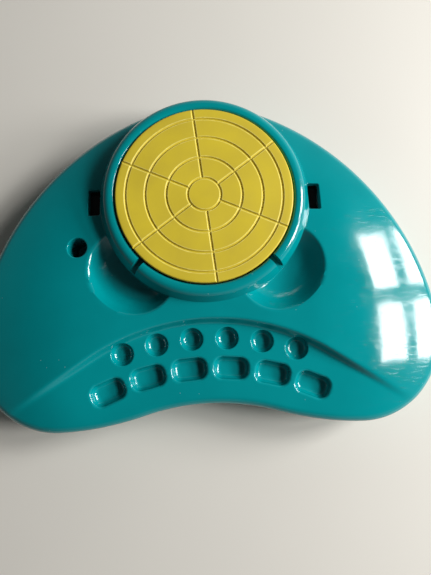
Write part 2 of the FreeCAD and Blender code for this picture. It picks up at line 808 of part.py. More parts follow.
def collar_section(hollow):
    """Return the collar's half section with the basin under the wheel, or the collar's ring left solid."""
    outside = [
        (COLLAR_INNER, BASIN_FLOOR),
        (COLLAR_INNER, COLLAR_TOP),
        (COLLAR_OUTER, COLLAR_TOP),
        (COLLAR_FOOT, "deck_height"),
    ]
    if not hollow:
        outside = outside[1:]
        return [(COLLAR_FOOT, BASIN_UNDER), (COLLAR_INNER, BASIN_UNDER)] + outside
    return [
        (BUSH_RADIUS, BASIN_UNDER),
        (BUSH_RADIUS, CHIMNEY_TOP),
        (CHIMNEY_RADIUS, CHIMNEY_TOP),
        (CHIMNEY_RADIUS, BASIN_FLOOR),
        *outside,
        (COLLAR_FOOT, SKIRT_BOTTOM),
        (f"{COLLAR_FOOT} - wall", SKIRT_BOTTOM),
        (f"{COLLAR_FOOT} - wall", "deck_height"),
        (f"{COLLAR_OUTER} - wall", f"{COLLAR_TOP} - wall"),
        (f"{COLLAR_INNER} + wall", f"{COLLAR_TOP} - wall"),
        (f"{COLLAR_INNER} + wall", BASIN_UNDER),
    ]


def collar(name, hollow):
    """Return the collar with its upper edges rounded."""
    return round_level(turned(name, collar_section(hollow)), value(COLLAR_TOP), "collar_round")


def notch_pair(name, grow, bottom):
    """Return the two radial blocks that the collar's notches take."""
    items = []
    wide = f"(notch_width / 2 + {grow})"
    low = (f"{COLLAR_INNER} - wall", f"-{wide}", bottom)
    high = (f"{COLLAR_FOOT} + wall", wide, f"{COLLAR_TOP} + wall")
    for side in (1, -1):
        frame = FreeCAD.Placement(FreeCAD.Vector(), upright(side * value("notch_angle") - 90))
        items.append(turned_block(f"{name}_{'right' if side > 0 else 'left'}", low, high, frame))
    return items


def switch_frame():
    """Return the switch's own frame: on the flank's outer face, X outwards, Z up."""
    flank = outline_centres()[1]
    turn = upright(value("switch_angle"))
    spot = flank + turn.multVec(FreeCAD.Vector(value("flank_radius"), 0, 0))
    return FreeCAD.Placement(FreeCAD.Vector(spot.x, spot.y, value("switch_height")), turn)


def switch_box(back, front, length, height):
    """Return the corners of a box about the switch's own X axis, from one depth to another."""
    return (back, f"-({length}) / 2", f"-({height}) / 2"), (front, f"({length}) / 2", f"({height}) / 2")


def switch_cuts():
    """Return what the flank's wall loses to the switch: a flat for its bezel and a window for its case."""
    flat = switch_box("-bezel_sink", "wall", "bezel_length + 2 * seat_gap", "bezel_height + 2 * seat_gap")
    window = switch_box("-2 * wall", "wall", "switch_length + 2 * seat_gap", "switch_tall + 2 * seat_gap")
    frame = switch_frame()
    return [turned_block("switch_flat", *flat, frame), turned_block("switch_window", *window, frame)]


def top_housing():
    """Return the teal moulding: a shell with collar, basin, scoops, wells, slots, tool hole and bosses."""
    outer = base_form("outer", "0", "foot_height")
    shell = cut("shell", outer, base_form("hollow", "wall", "foot_height - wall"))
    bosses = [rod(f"housing_boss_{index}", "boss_radius", BASE_TOP, f"{COLLAR_TOP} - {BASE_TOP}", x, y)
              for index, (x, y) in enumerate(boss_places())]
    tool_tube = rod("tool_tube", "tool_hole_radius + cup_wall", "tool_hole_floor - cup_wall",
                    "deck_height - tool_hole_floor", TOOL_HOLE_X, TOOL_HOLE_Y)
    cups = fanned("well_cup", well_cup, "well_arc", "well_pitch", "well_pairs")
    cups += fanned("trough_cup", trough_cup, "trough_arc", "trough_pitch", "trough_pairs")
    cups += scoop_pair("scoop_cup", "wall", "deck_height")
    cups += slot_pair("slot_socket", "cup_wall", "(slot_depth + cup_wall)")
    inside = common("inside", outer, fuse("inside_all", tool_tube, *bosses, *cups))
    well_room = rod("collar_room", f"{COLLAR_FOOT} - wall / 2", f"{SKIRT_BOTTOM} - wall", COLLAR_TOP)
    opened = cut("opened", fuse("walled", shell, inside), well_room, *scoop_pair("scoop", "0", COLLAR_TOP))
    lands = common("notch_lands", collar("collar_solid", False),
                   fuse("notch_lands_all", *notch_pair("notch_land", "wall", BASIN_UNDER)))
    plate_bosses = [rod(f"plate_boss_{index}", "plate_boss_radius", PLATE_TOP, "gear_space + wall / 2", x, y)
                    for index, (x, y) in enumerate(plate_boss_places())]
    idler_boss = rod("idler_boss", "idler_boss_radius", f"{BASIN_UNDER} - idler_boss_drop",
                     "idler_boss_drop + wall / 2", IDLER_X, IDLER_Y)
    joined = fuse("joined", opened, collar("collar", True), lands, *plate_bosses, idler_boss)
    cuts = fanned("well", well, "well_arc", "well_pitch", "well_pairs")
    cuts += fanned("trough", trough, "trough_arc", "trough_pitch", "trough_pairs")
    cuts += slot_pair("slot", "0", "slot_depth")
    cuts += notch_pair("notch", "0", "deck_height + notch_lift")
    cuts.append(rod("tool_hole", "tool_hole_radius", "tool_hole_floor", COLLAR_TOP,
                    TOOL_HOLE_X, TOOL_HOLE_Y))
    for index, (x, y) in enumerate(boss_places()):
        cuts.append(rod(f"housing_pilot_{index}", "large_screw_radius + snug_fit", "foot_height",
                        "base_thick + large_screw_length + pilot_spare", x, y))
    for index, (x, y) in enumerate(plate_boss_places()):
        cuts.append(rod(f"plate_pilot_{index}", "small_screw_radius + snug_fit", PLATE_UNDER,
                        "plate_thick + small_screw_length", x, y))
    cuts.append(rod("idler_socket", "idler_shaft_radius + snug_fit", PLATE_TOP,
                    "gear_space + idler_shaft_entry - idler_boss_drop", IDLER_X, IDLER_Y))
    cuts += switch_cuts()
    return piece("top_housing", cut("housing", joined, *cuts))


def bush(node, bottom, seat, spread):
    """Return a flanged bush for the spindle, from its bottom up to the flange's seat."""
    bore = "spindle_radius + running_fit"
    return piece(node, turned(f"{node}_body", [
        (bore, bottom),
        (f"{BUSH_RADIUS} - snug_fit", bottom),
        (f"{BUSH_RADIUS} - snug_fit", seat),
        (f"{BUSH_RADIUS} + {spread}", seat),
        (f"{BUSH_RADIUS} + {spread}", f"{seat} + bush_flange_thick"),
        (bore, f"{seat} + bush_flange_thick"),
    ]))


def spindle():
    """Return the wheel's steel spindle: a clip groove near its foot and a flat at its head."""
    top = f"({BORE_TOP} - float_gap)"
    bar = turned("spindle_bar", [
        ("0", f"{CLIP_BOTTOM} - spindle_tail"),
        ("spindle_radius", f"{CLIP_BOTTOM} - spindle_tail"),
        ("spindle_radius", CLIP_BOTTOM),
        ("spindle_radius - clip_groove", CLIP_BOTTOM),
        ("spindle_radius - clip_groove", CLIP_TOP),
        ("spindle_radius", CLIP_TOP),
        ("spindle_radius", top),
        ("0", top),
    ])
    flat = block("spindle_flat_cut", ("spindle_flat", "-2 * spindle_radius", HUB_BOTTOM),
                 ("2 * spindle_radius", "2 * spindle_radius", WHEEL_TOP))
    return piece("spindle", cut("spindle_flatted", bar, flat), turn=value("spoke_turn"))


def spindle_clip():
    """Return the open spring clip that keeps the spindle in its lower bush."""
    inner = "(spindle_radius - clip_groove + snug_fit)"
    ring = turned("clip_ring", [
        (inner, CLIP_BOTTOM),
        ("clip_radius", CLIP_BOTTOM),
        ("clip_radius", CLIP_TOP),
        (inner, CLIP_TOP),
    ])
    mouth = block("clip_mouth_cut", ("0", "-clip_mouth / 2", f"{CLIP_BOTTOM} - clip_thick"),
                  ("2 * clip_radius", "clip_mouth / 2", f"{CLIP_TOP} + clip_thick"))
    return piece("spindle_clip", cut("clip_open", ring, mouth))


def turntable():
    """Return the wheel head: grooved face, drop rim, hub with a flatted bore and a splash skirt."""
    top = []
    for ring in ("hub_ring", "inner_ring", "middle_ring", "outer_ring"):
        top += [
            (f"{ring} - groove_width / 2", WHEEL_TOP),
            (f"{ring} - groove_floor / 2", f"{WHEEL_TOP} - groove_depth"),
            (f"{ring} + groove_floor / 2", f"{WHEEL_TOP} - groove_depth"),
            (f"{ring} + groove_width / 2", WHEEL_TOP),
        ]
    bore = "(spindle_radius + snug_fit)"
    skirt = f"({CHIMNEY_RADIUS} + splash_skirt_gap)"
    skirt_bottom = f"{BASIN_FLOOR} + splash_skirt_lift"
    rim_bottom = f"{WHEEL_UNDER} - wheel_rim_drop"
    body = turned("wheel_head", [
        ("0", BORE_TOP),
        (bore, BORE_TOP),
        (bore, HUB_BOTTOM),
        ("hub_radius", HUB_BOTTOM),
        ("hub_radius", WHEEL_UNDER),
        (skirt, WHEEL_UNDER),
        (skirt, skirt_bottom),
        (f"{skirt} + splash_skirt_thick", skirt_bottom),
        (f"{skirt} + splash_skirt_thick", WHEEL_UNDER),
        ("wheel_radius - wheel_rim_thick", WHEEL_UNDER),
        ("wheel_radius - wheel_rim_thick", rim_bottom),
        ("wheel_radius", rim_bottom),
        ("wheel_radius", WHEEL_TOP),
        *reversed(top),
        ("0", WHEEL_TOP),
    ])
    rim = value("wheel_radius") - LEVEL_TOLERANCE
    round_level(body, value(WHEEL_TOP), "wheel_round", lambda edge: edge.BoundBox.XMax > rim)
    key = draw(new_sketch(body, "wheel_key_plan", "XY_Plane"), [
        ("spindle_flat + snug_fit", "-spindle_radius"),
        ("spindle_radius + bush_wall", "-spindle_radius"),
        ("spindle_radius + bush_wall", "spindle_radius"),
        ("spindle_flat + snug_fit", "spindle_radius"),
    ])
    bind(key, AttachmentOffset__Base__z=HUB_BOTTOM)
    fill = body.newObject("PartDesign::Pad", "wheel_key")
    fill.Profile = key
    bind(fill, Length=f"{BORE_TOP} - {HUB_BOTTOM}")
    spoke = draw(new_sketch(body, "spoke_section", "YZ_Plane"), [
        ("-groove_width / 2", WHEEL_TOP),
        ("-groove_floor / 2", f"{WHEEL_TOP} - groove_depth"),
        ("groove_floor / 2", f"{WHEEL_TOP} - groove_depth"),
        ("groove_width / 2", WHEEL_TOP),
    ])
    bind(spoke, AttachmentOffset__Base__z="hub_ring")
    doc.recompute()
    before = body.Shape.Volume
    groove = body.newObject("PartDesign::Pocket", "spoke_groove")
    groove.Profile = spoke
    bind(groove, Length="wheel_radius")
    doc.recompute()
    if body.Shape.Volume > before - 1:
        raise RuntimeError("the spoke groove cuts nothing")
    spokes = body.newObject("PartDesign::PolarPattern", "spokes")
    spokes.Originals = [groove]
    spokes.Axis = (plane_of(body, "Z_Axis"), [""])
    spokes.Angle = 360
    bind(spokes, Occurrences="spoke_count")
    body.Tip = spokes
    return piece("turntable", body, turn=value("spoke_turn"))


def toothed(name, module, teeth, bore, width, bottom, turn, x="0", y="0"):
    """Return a bored spur gear; one tooth points along turn, in degrees."""
    builder = fcgear.FCWireBuilder()
    involute.CreateExternalGear(builder, value(module), int(value(teeth)), value("pressure_angle"), False)
    edge = Part.Wire([side.toShape() for side in builder.wire])
    hole = Part.Wire(Part.Circle(FreeCAD.Vector(), FreeCAD.Vector(0, 0, 1), value(bore)).toShape())
    face = Part.makeFace([edge, hole], "Part::FaceMakerBullseye")
    gear = doc.addObject("Part::Feature", name)
    gear.Shape = face.extrude(FreeCAD.Vector(0, 0, value(width)))
    gear.Placement = FreeCAD.Placement(FreeCAD.Vector(), upright(turn))
    return place(gear, x, y, bottom)


def gears():
    """Make the three gears of the drive; teeth meet along the lines between the shafts."""
    to_idler, to_motor = value("idler_turn"), value("motor_turn")
    bore = "spindle_radius + snug_fit"
    ring = toothed("wheel_gear_ring", "final_module", "wheel_gear_teeth", bore, "wheel_gear_width",
                   WHEEL_GEAR_BOTTOM, to_idler)
    hub_bottom = f"({PLATE_TOP} + bush_flange_thick + float_gap)"
    hub = turned("wheel_gear_boss", [
        (bore, hub_bottom),
        ("wheel_gear_hub", hub_bottom),
        ("wheel_gear_hub", WHEEL_GEAR_BOTTOM),
        (bore, WHEEL_GEAR_BOTTOM),
    ])
    piece("spindle_gear", fuse("wheel_gear", ring, hub))
    bore = "idler_shaft_radius + running_fit"
    from_wheel = to_idler + 180 + 180 / value("idler_small_teeth")
    large = toothed("idler_large", "first_module", "idler_large_teeth", bore, "idler_large_width",
                    IDLER_BOTTOM, to_motor, IDLER_X, IDLER_Y)
    small = toothed("idler_small", "final_module", "idler_small_teeth", bore, "idler_small_width",
                    IDLER_STEP, from_wheel, IDLER_X, IDLER_Y)
    piece("idler_gear", fuse("idler", large, small))
    from_idler = to_motor + 180 + 180 / value("pinion_teeth")
    pinion = toothed("pinion", "first_module", "pinion_teeth", "motor_shaft_radius + snug_fit",
                     "idler_large_width", IDLER_BOTTOM, from_idler)
    piece("motor_pinion", pinion, MOTOR_X, MOTOR_Y, from_idler)


def gear_plate():
    """Return the plate that hangs below the basin and carries the lower bush, the idler and the motor."""
    corners = rectangle(f"{PLATE_LEFT} + {PLATE_RIGHT}", f"{PLATE_FRONT} + {PLATE_BACK}", "plate_corner")
    plate = place(prism("plate_blank", corners, PLATE_UNDER, "plate_thick"),
                  f"({PLATE_RIGHT} - {PLATE_LEFT}) / 2", f"({PLATE_BACK} - {PLATE_FRONT}) / 2")
    holes = [
        rod("plate_bush_hole", BUSH_RADIUS, CAP_BOTTOM, PLATE_TOP),
        rod("plate_idler_hole", "idler_shaft_radius + snug_fit", CAP_BOTTOM, PLATE_TOP, IDLER_X, IDLER_Y),
        rod("plate_motor_hole", "motor_boss_radius + seat_gap", CAP_BOTTOM, PLATE_TOP, MOTOR_X, MOTOR_Y),
    ]
    for index, (x, y) in enumerate(plate_boss_places() + motor_screw_places()):
        name = f"plate_screw_hole_{index}"
        holes.append(rod(name, "small_screw_radius + seat_gap", CAP_BOTTOM, PLATE_TOP, x, y))
    return piece("gear_plate", cut("plate", plate, *holes))


def motor_screw_places():
    """Return the places of the motor's two screws, square to the line between motor and idler."""
    aside, along = "motor_screw_spread * sin(motor_turn)", "motor_screw_spread * cos(motor_turn)"
    left = (f"({MOTOR_X} - {aside})", f"({MOTOR_Y} + {along})")
    right = (f"({MOTOR_X} + {aside})", f"({MOTOR_Y} - {along})")
    return [left, right]


def motor():
    """Make the motor: can, end cap, terminals and shaft."""
    boss_top = f"({PLATE_UNDER} + motor_boss_rise)"
    bore = "motor_shaft_radius + running_fit"
    can = turned("motor_can_body", [
        (bore, MOTOR_BOTTOM),
        ("motor_radius", MOTOR_BOTTOM),
        ("motor_radius", PLATE_UNDER),
        ("motor_boss_radius", PLATE_UNDER),
        ("motor_boss_radius", boss_top),
        (bore, boss_top),
    ])
    place(can, MOTOR_X, MOTOR_Y)
    taps = [rod(f"motor_tap_{index}", "small_screw_radius + snug_fit", f"{PLATE_UNDER} - small_screw_length",
                "small_screw_length", x, y) for index, (x, y) in enumerate(motor_screw_places())]
    piece("motor_can", cut("motor_can_tapped", can, *taps))
    cap = turned("motor_cap_body", [
        ("0", CAP_BOTTOM),
        ("motor_radius - seat_gap", CAP_BOTTOM),
        ("motor_radius - seat_gap", MOTOR_BOTTOM),
        ("0", MOTOR_BOTTOM),
    ])
    place(cap, MOTOR_X, MOTOR_Y)
    tabs, slits = [], []
    for side in (1, -1):
        ends = sorted((f"{MOTOR_X} + {side} * (motor_radius - seat_gap - terminal_root)",
                       f"{MOTOR_X} + {side} * (motor_radius + terminal_length)"), key=value)
        middle = f"({CAP_BOTTOM} + motor_cap_length / 2)"
        low = (ends[0], f"{MOTOR_Y} - terminal_width / 2", f"{middle} - terminal_thick / 2")
        high = (ends[1], f"{MOTOR_Y} + terminal_width / 2", f"{middle} + terminal_thick / 2")
        tabs.append(block(f"motor_tab_{side + 1}", low, high))
        slits.append(block(f"motor_slit_{side + 1}", low, high))
    piece("motor_end_cap", cut("motor_cap", cap, *slits))
    gather("motor_terminals", tabs)
    shaft_top = f"({IDLER_BOTTOM} + idler_large_width)"
    piece("motor_shaft", turned("motor_shaft_bar", [
        ("0", f"{MOTOR_BOTTOM} + float_gap"),
        ("motor_shaft_radius", f"{MOTOR_BOTTOM} + float_gap"),
        ("motor_shaft_radius", shaft_top),
        ("0", shaft_top),
    ]), MOTOR_X, MOTOR_Y)


def idler_shaft():
    """Return the fixed pin that the idler turns on, held in the plate and in a boss under the basin."""
    top = f"({BASIN_UNDER} - idler_boss_drop + idler_shaft_entry)"
    return piece("idler_shaft", turned("idler_pin", [
        ("0", PLATE_UNDER),
        ("idler_shaft_radius", PLATE_UNDER),
        ("idler_shaft_radius", top),
        ("0", top),
    ]), IDLER_X, IDLER_Y)


def screw_set(node, kind, seat, pointing, places):
    """Make like pan-head screws, their heads seated at a level; pointing is 1 upwards or -1 downwards."""
    items = []
    for index, (x, y) in enumerate(places):
        head = f"{seat} - {pointing} * {kind}_head_height"
        tip = f"{seat} + {pointing} * {kind}_screw_length"
        section = [
            ("0", head),
            (f"{kind}_head_radius", head),
            (f"{kind}_head_radius", seat),
            (f"{kind}_screw_radius", seat),
            (f"{kind}_screw_radius", tip),
            ("0", tip),
        ]
        items.append(place(turned(f"{node}_{index}", section[::pointing]), x, y))
    return gather(node, items)


def screws():
    """Make the four groups of screws."""
    screw_set("housing_screws", "large", "(foot_height + screw_seat)", 1, boss_places())
    screw_set("gear_plate_screws", "small", PLATE_UNDER, 1, plate_boss_places())
    screw_set("motor_screws", "small", PLATE_TOP, -1, motor_screw_places())
    screw_set("tray_screws", "small", EAR_TOP, -1, tray_ear_places())


def base_cover():
    """Return the cover that closes the housing, with seats, a battery opening, hinge ears and bosses."""
    body = doc.addObject("PartDesign::Body", "base_blank")
    pad(body, outline_sketch(body, "base_outline", "(wall + base_gap)"), "foot_height", "base_thick")
    lift = "base_thick + tray_ear_lift"
    bosses = [rod(f"tray_boss_{index}", "tray_boss_radius", "foot_height", lift, x, y)
              for index, (x, y) in enumerate(tray_ear_places())]
    opening = block("battery_opening", (f"-{BAY_HALF}", f"-{TRAY_FORWARD} - {BAY_WIDE}", "0"),
                    (BAY_HALF, f"{BAY_WIDE} - {TRAY_FORWARD}", f"{BASE_TOP} + base_thick"))
    cuts = []
    above = f"{BASE_TOP} + base_thick"
    for index, (x, y) in enumerate(boss_places()):
        cuts.append(rod(f"base_screw_hole_{index}", "large_screw_radius + seat_gap", "0", above, x, y))
        cuts.append(rod(f"base_screw_seat_{index}", "large_head_radius + seat_gap", "0",
                        "foot_height + screw_seat", x, y))
    for index, (x, y) in enumerate(foot_places()):
        cuts.append(rod(f"foot_seat_{index}", "foot_radius + seat_gap", "0", "foot_height + foot_seat",
                        x, y))
    for index, (x, y) in enumerate(tray_ear_places()):
        cuts.append(rod(f"tray_pilot_{index}", "small_screw_radius + snug_fit",
                        f"{EAR_TOP} - small_screw_length", "small_screw_length", x, y))
    drilled = cut("base_drilled", fuse("base_bossed", cut("base_opened", body, opening), *bosses), *cuts)
    ears, pins = [], []
    for side in ("", "-"):
        ends = sorted((f"{side}{HINGE_EAR}", f"{side}({BAY_HALF} + base_gap)"), key=value)
        low = (ends[0], f"{HINGE_Y} - hinge_ear_half", "foot_height")
        high = (ends[1], f"{HINGE_Y} + hinge_radius + 2 * door_gap", BASE_TOP)
        ears.append(block(f"hinge_foot_{side or '+'}", low, high))
        ends = sorted((f"{side}{HINGE_EAR}", f"{side}({BAY_HALF} - base_gap)"), key=value)
        low = (ends[0], f"{HINGE_Y} - hinge_ear_half", "foot_height")
        high = (ends[1], f"{HINGE_Y} + hinge_radius", "foot_height + hinge_ear_height")
        ears.append(block(f"hinge_ear_{side or '+'}", low, high))
        pins.append(hinge_rod(f"hinge_hole_{side or '+'}", "hinge_pin_radius + running_fit", side, "0",
                              "hinge_pin_length + float_gap"))
    return piece("base_cover", cut("base", fuse("base_eared", drilled, *ears), *pins))


def hinge_rod(name, radius, side, start, end):
    """Return a rod along the door's hinge line, measured outwards from the inner face of an ear."""
    item = doc.addObject("Part::Cylinder", name)
    ends = sorted((f"{side}({HINGE_EAR} + {start})", f"{side}({HINGE_EAR} + {end})"), key=value)
    bind(item, Radius=radius, Height=f"({ends[1]}) - ({ends[0]})")
    item.Placement.Rotation = FreeCAD.Rotation(FreeCAD.Vector(0, 1, 0), 90)
    return place(item, ends[0], HINGE_Y, HINGE_Z)


def battery_door():
    """Return the door under the cells: a plate with a thumb dip, and a knuckle with two stub pins."""
    sweep = "(sqrt(hinge_ear_half ^ 2 + hinge_radius ^ 2) + door_gap)"
    front = f"door_gap - {TRAY_FORWARD} - {BAY_WIDE}"
    plate = block("door_plate", (f"door_gap - {BAY_HALF}", front, "foot_height"),
                  (f"{BAY_HALF} - door_gap", HINGE_Y, "foot_height + door_thick"))
    corners = []
    for side in ("", "-"):
        ends = sorted((f"{side}({HINGE_EAR} - door_gap)", f"{side}{BAY_HALF}"), key=value)
        corners.append(block(f"door_corner_{side or '+'}", (ends[0], f"{HINGE_Y} - {sweep}", "0"),
                             (ends[1], f"{HINGE_Y} + hinge_radius", BASE_TOP)))
    thumb = rod("door_thumb", "thumb_radius", "foot_height - thumb_depth", "2 * thumb_depth", "0",
                f"{front} + thumb_radius + door_thick")
    trimmed = cut("door_trimmed", plate, *corners, thumb)
    knuckle = hinge_rod("door_knuckle", "hinge_radius", "", f"-2 * {HINGE_EAR} + door_gap", "-door_gap")
    stubs = []
    for side in ("", "-"):
        name = f"door_stub_{side or '+'}"
        stubs.append(hinge_rod(name, "hinge_pin_radius", side, "-2 * door_gap", "hinge_pin_length"))
    return piece("battery_door", fuse("door", trimmed, knuckle, *stubs))


def battery_tray():
    """Return the tub over the cells, open below, with four ears and slits for the two end contacts."""
    out, wide = f"({BAY_HALF} + tray_wall)", f"({BAY_WIDE} + tray_wall)"
    tub = block("tray_tub", (f"-{out}", f"-{TRAY_FORWARD} - {wide}", BASE_TOP),
                (out, f"{wide} - {TRAY_FORWARD}", TRAY_TOP))
    room = block("tray_room", (f"-{BAY_HALF}", f"-{TRAY_FORWARD} - {BAY_WIDE}", "foot_height"),
                 (BAY_HALF, f"{BAY_WIDE} - {TRAY_FORWARD}", TRAY_ROOF))
    ears = []
    holes = []
    for index, (x, y) in enumerate(tray_ear_places()):
        low = (f"{x} - tray_ear_reach / 2", f"{y} - tray_ear_width / 2", f"{EAR_TOP} - tray_ear_thick")
        high = (f"{x} + tray_ear_reach / 2", f"{y} + tray_ear_width / 2", EAR_TOP)
        ears.append(block(f"tray_ear_{index}", low, high))
        holes.append(rod(f"tray_hole_{index}", "small_screw_radius + seat_gap", BASE_TOP, TRAY_TOP, x, y))
    slits = [block(f"tray_slit_{index}", *tab_box(side, "seat_gap")) for index, side in enumerate(("", "-"))]
    eared = fuse("tray_eared", cut("tray_open", tub, room), *ears)
    return piece("battery_tray", cut("tray", eared, *holes, *slits))


def tab_box(side, grow):
    """Return the corners of an end contact's solder tab, through the tray's right end wall."""
    middle = f"({side}{CELL_OFFSET} - {TRAY_FORWARD})"
    wide, tall = f"(tab_width / 2 + {grow})", f"(contact_thick / 2 + {grow})"
    low = (f"{BAY_HALF} - contact_thick", f"{middle} - {wide}", f"{CELL_HEIGHT} - {tall}")
    high = (f"{BAY_HALF} + tray_wall + tab_reach", f"{middle} + {wide}", f"{CELL_HEIGHT} + {tall}")
    return low, high


def leaf(name, side, front, width):
    """Return a bent leaf contact on one end wall: a plate up the wall, folded over towards the cells."""
    def out(formula):
        return f"{side} * ({formula})"
    wall_face, tip = BAY_HALF, "cell_length + cell_gap / 4"
    low, high = f"{CELL_HEIGHT} - contact_height / 2", f"{CELL_HEIGHT} + contact_height / 2"
    section = [
        (out(wall_face), low),
        (out(wall_face), high),
        (out(f"{wall_face} - 2 * contact_thick"), high),
        (out(tip), f"{CELL_HEIGHT} + contact_thick"),
        (out(tip), f"{CELL_HEIGHT} - contact_thick"),
        (out(f"{tip} + contact_thick"), f"{CELL_HEIGHT} - contact_thick"),
        (out(f"{tip} + contact_thick"), f"{CELL_HEIGHT} + contact_thick / 2"),
        (out(f"{wall_face} - contact_thick"), f"{high} - 2 * contact_thick"),
        (out(f"{wall_face} - contact_thick"), low),
    ]
    body = doc.addObject("PartDesign::Body", name)
    sketch = draw(new_sketch(body, f"{name}_section", "XZ_Plane"), section)
    bind(sketch, AttachmentOffset__Base__z=f"-({front} + {width})")
    strip = body.newObject("PartDesign::Pad", f"{name}_pad")
    strip.Profile = sketch
    bind(strip, Length=width)
    return body


def batteries():
    """Make the four cells, two in a row, and the contacts at their ends."""
    for index, (side, end) in enumerate((("", 1), ("", -1), ("-", 1), ("-", -1)), 1):
        heading = 1 if side == "" else -1
        cell = turned(f"cell_{index}", [
            ("0", "0"),
            ("cell_radius - cell_round", "0", "cell_round", 1),
            ("cell_radius", "cell_round"),
            ("cell_radius", "cell_length - cell_nub - cell_round", "cell_round", 1),
            ("cell_radius - cell_round", "cell_length - cell_nub"),
            ("cell_nub_radius", "cell_length - cell_nub"),
            ("cell_nub_radius", "cell_length"),
            ("0", "cell_length"),
        ])
        start = {(1, 1): "0", (1, -1): "-cell_length", (-1, 1): "cell_length", (-1, -1): "0"}[heading, end]
        item = piece(f"battery_cell_{index}", cell)
        item.Placement.Rotation = FreeCAD.Rotation(FreeCAD.Vector(0, 1, 0), 90 * heading)
        place(item, start, f"{side}{CELL_OFFSET} - {TRAY_FORWARD} + {WHEEL_BACK}", CELL_HEIGHT)
    first = f"-{TRAY_FORWARD} - {CELL_OFFSET} - contact_width / 2"
    piece("battery_link_contact", leaf("link_leaf", "-1", first, f"(2 * {CELL_OFFSET} + contact_width)"))
    for node, side in (("battery_positive_contact", ""), ("battery_negative_contact", "-")):
        first = f"({side}{CELL_OFFSET} - {TRAY_FORWARD} - contact_width / 2)"
        strip = leaf(f"{node}_leaf", "1", first, "contact_width")
        piece(node, fuse(f"{node}_tabbed", strip, block(f"{node}_tab", *tab_box(side, "0"))))


def feet():
    """Make the four rubber feet."""
    for index, (x, y) in enumerate(foot_places(), 1):
        body = turned(f"foot_{index}", [
            ("0", "0"),
            ("foot_radius - foot_round", "0", "foot_round", 1),
            ("foot_radius", "foot_round"),
            ("foot_radius", "foot_height + foot_seat"),
            ("0", "foot_height + foot_seat"),
        ])
        piece(f"rubber_foot_{index}", body, x, y)


def switch_piece(node, item):
    """Name a piece of the switch and move it to the flank."""
    item.Label = node
    spot = switch_frame()
    item.Placement = FreeCAD.Placement(spot.Base + FreeCAD.Vector(0, value(WHEEL_BACK), 0), spot.Rotation)
    pieces[node] = item
    return item


def switch():
    """Make the power switch: a bezelled housing, two blades and a rocker that rests tipped to off."""
    bezel_front = "bezel_thick - bezel_sink"
    bezel = block("switch_bezel", *switch_box("-bezel_sink", bezel_front, "bezel_length", "bezel_height"))
    case = block("switch_case", *switch_box("-switch_depth", "0", "switch_length", "switch_tall"))
    room_length, room_height = "rocker_length + 2 * rocker_room", "rocker_tall + 2 * rocker_gap"
    room = block("switch_room", *switch_box("-switch_cavity_depth", "bezel_thick", room_length, room_height))
    pin_reach = "(rocker_tall / 2 + rocker_pin_length)"
    pin_hole = rod("switch_pin_hole", "rocker_pin_radius + running_fit", f"-{pin_reach} - rocker_gap",
                   f"2 * ({pin_reach} + rocker_gap)", "-rocker_pivot")
    blades, slits = [], []
    for side in ("", "-"):
        middle = f"{side}switch_length / 4"
        low = ("-switch_depth - terminal_length", f"{middle} - terminal_thick / 2", "-terminal_width / 2")
        high = ("terminal_root - switch_depth", f"{middle} + terminal_thick / 2", "terminal_width / 2")
        blades.append(block(f"switch_blade_{side or '+'}", low, high))
        slits.append(block(f"switch_slit_{side or '+'}", low, high))
    solid = fuse("switch_solid", bezel, case)
    switch_piece("switch_housing", cut("switch_body", solid, room, pin_hole, *slits))
    group = doc.addObject("Part::Compound", "switch_blades")
    group.Links = blades
    switch_piece("switch_terminals", group)
    half = "rocker_length / 2"
    paddle = prism("rocker_paddle", [
        ("-rocker_pivot - rocker_tail", "-rocker_tail_half"),
        ("rocker_rise", f"-{half}"),
        ("rocker_rise - rocker_dip", "0"),
        ("rocker_rise", half),
        ("-rocker_pivot - rocker_tail", "rocker_tail_half"),
    ], "-rocker_tall / 2", "rocker_tall")
    pin = rod("rocker_pin", "rocker_pin_radius", f"-{pin_reach}", f"2 * {pin_reach}", "-rocker_pivot")
    rocker = switch_piece("switch_rocker", fuse("rocker", paddle, pin))
    pivot = FreeCAD.Vector(-value("rocker_pivot"), 0, 0)
    tip = FreeCAD.Placement(FreeCAD.Vector(), upright(-value("rocker_tilt")), pivot)
    rocker.Placement = rocker.Placement.multiply(tip)


def bent_path(points):
    """Return a wire of straight runs joined by touching arcs, each as large as its shorter run allows."""
    edges = []
    start = points[0]
    radii = []
    for before, corner, after in zip(points, points[1:], points[2:]):
        arrive, leave = (corner - before), (after - corner)
        shorter = min(arrive.Length, leave.Length)
        turn = arrive.getAngle(leave)
        trim = BEND_SHARE * shorter
        first = corner - FreeCAD.Vector(arrive).normalize() * trim
        last = corner + FreeCAD.Vector(leave).normalize() * trim
        inward = ((first + last) * 0.5 - corner).normalize()
        radius = trim / math.tan(turn / 2)
        middle = corner + inward * (math.hypot(radius, trim) - radius)
        edges.append(Part.LineSegment(start, first).toShape())
        edges.append(Part.Arc(first, middle, last).toShape())
        radii.append(radius)
        start = last
    edges.append(Part.LineSegment(start, points[-1]).toShape())
    return Part.Wire(edges), radii


def lead(node, points):
    """Make a round lead along a route and report its length and bends."""
    path, radii = bent_path([FreeCAD.Vector(*point) for point in points])
    heading = FreeCAD.Vector(*points[1]) - FreeCAD.Vector(*points[0])
    ring = Part.Wire(Part.Circle(FreeCAD.Vector(*points[0]), heading, value("lead_radius")).toShape())
    item = doc.addObject("Part::Feature", node)
    item.Shape = path.makePipeShell([ring], True, False)
    expected = math.pi * value("lead_radius") ** 2 * path.Length
    bends = ", ".join(f"{radius:.0f}" for radius in radii)
    share = item.Shape.Volume / expected
    print(f"{node}: length {path.Length:.1f}, volume {share:.4f} of section times length, bends {bends}")
    return piece(node, item)


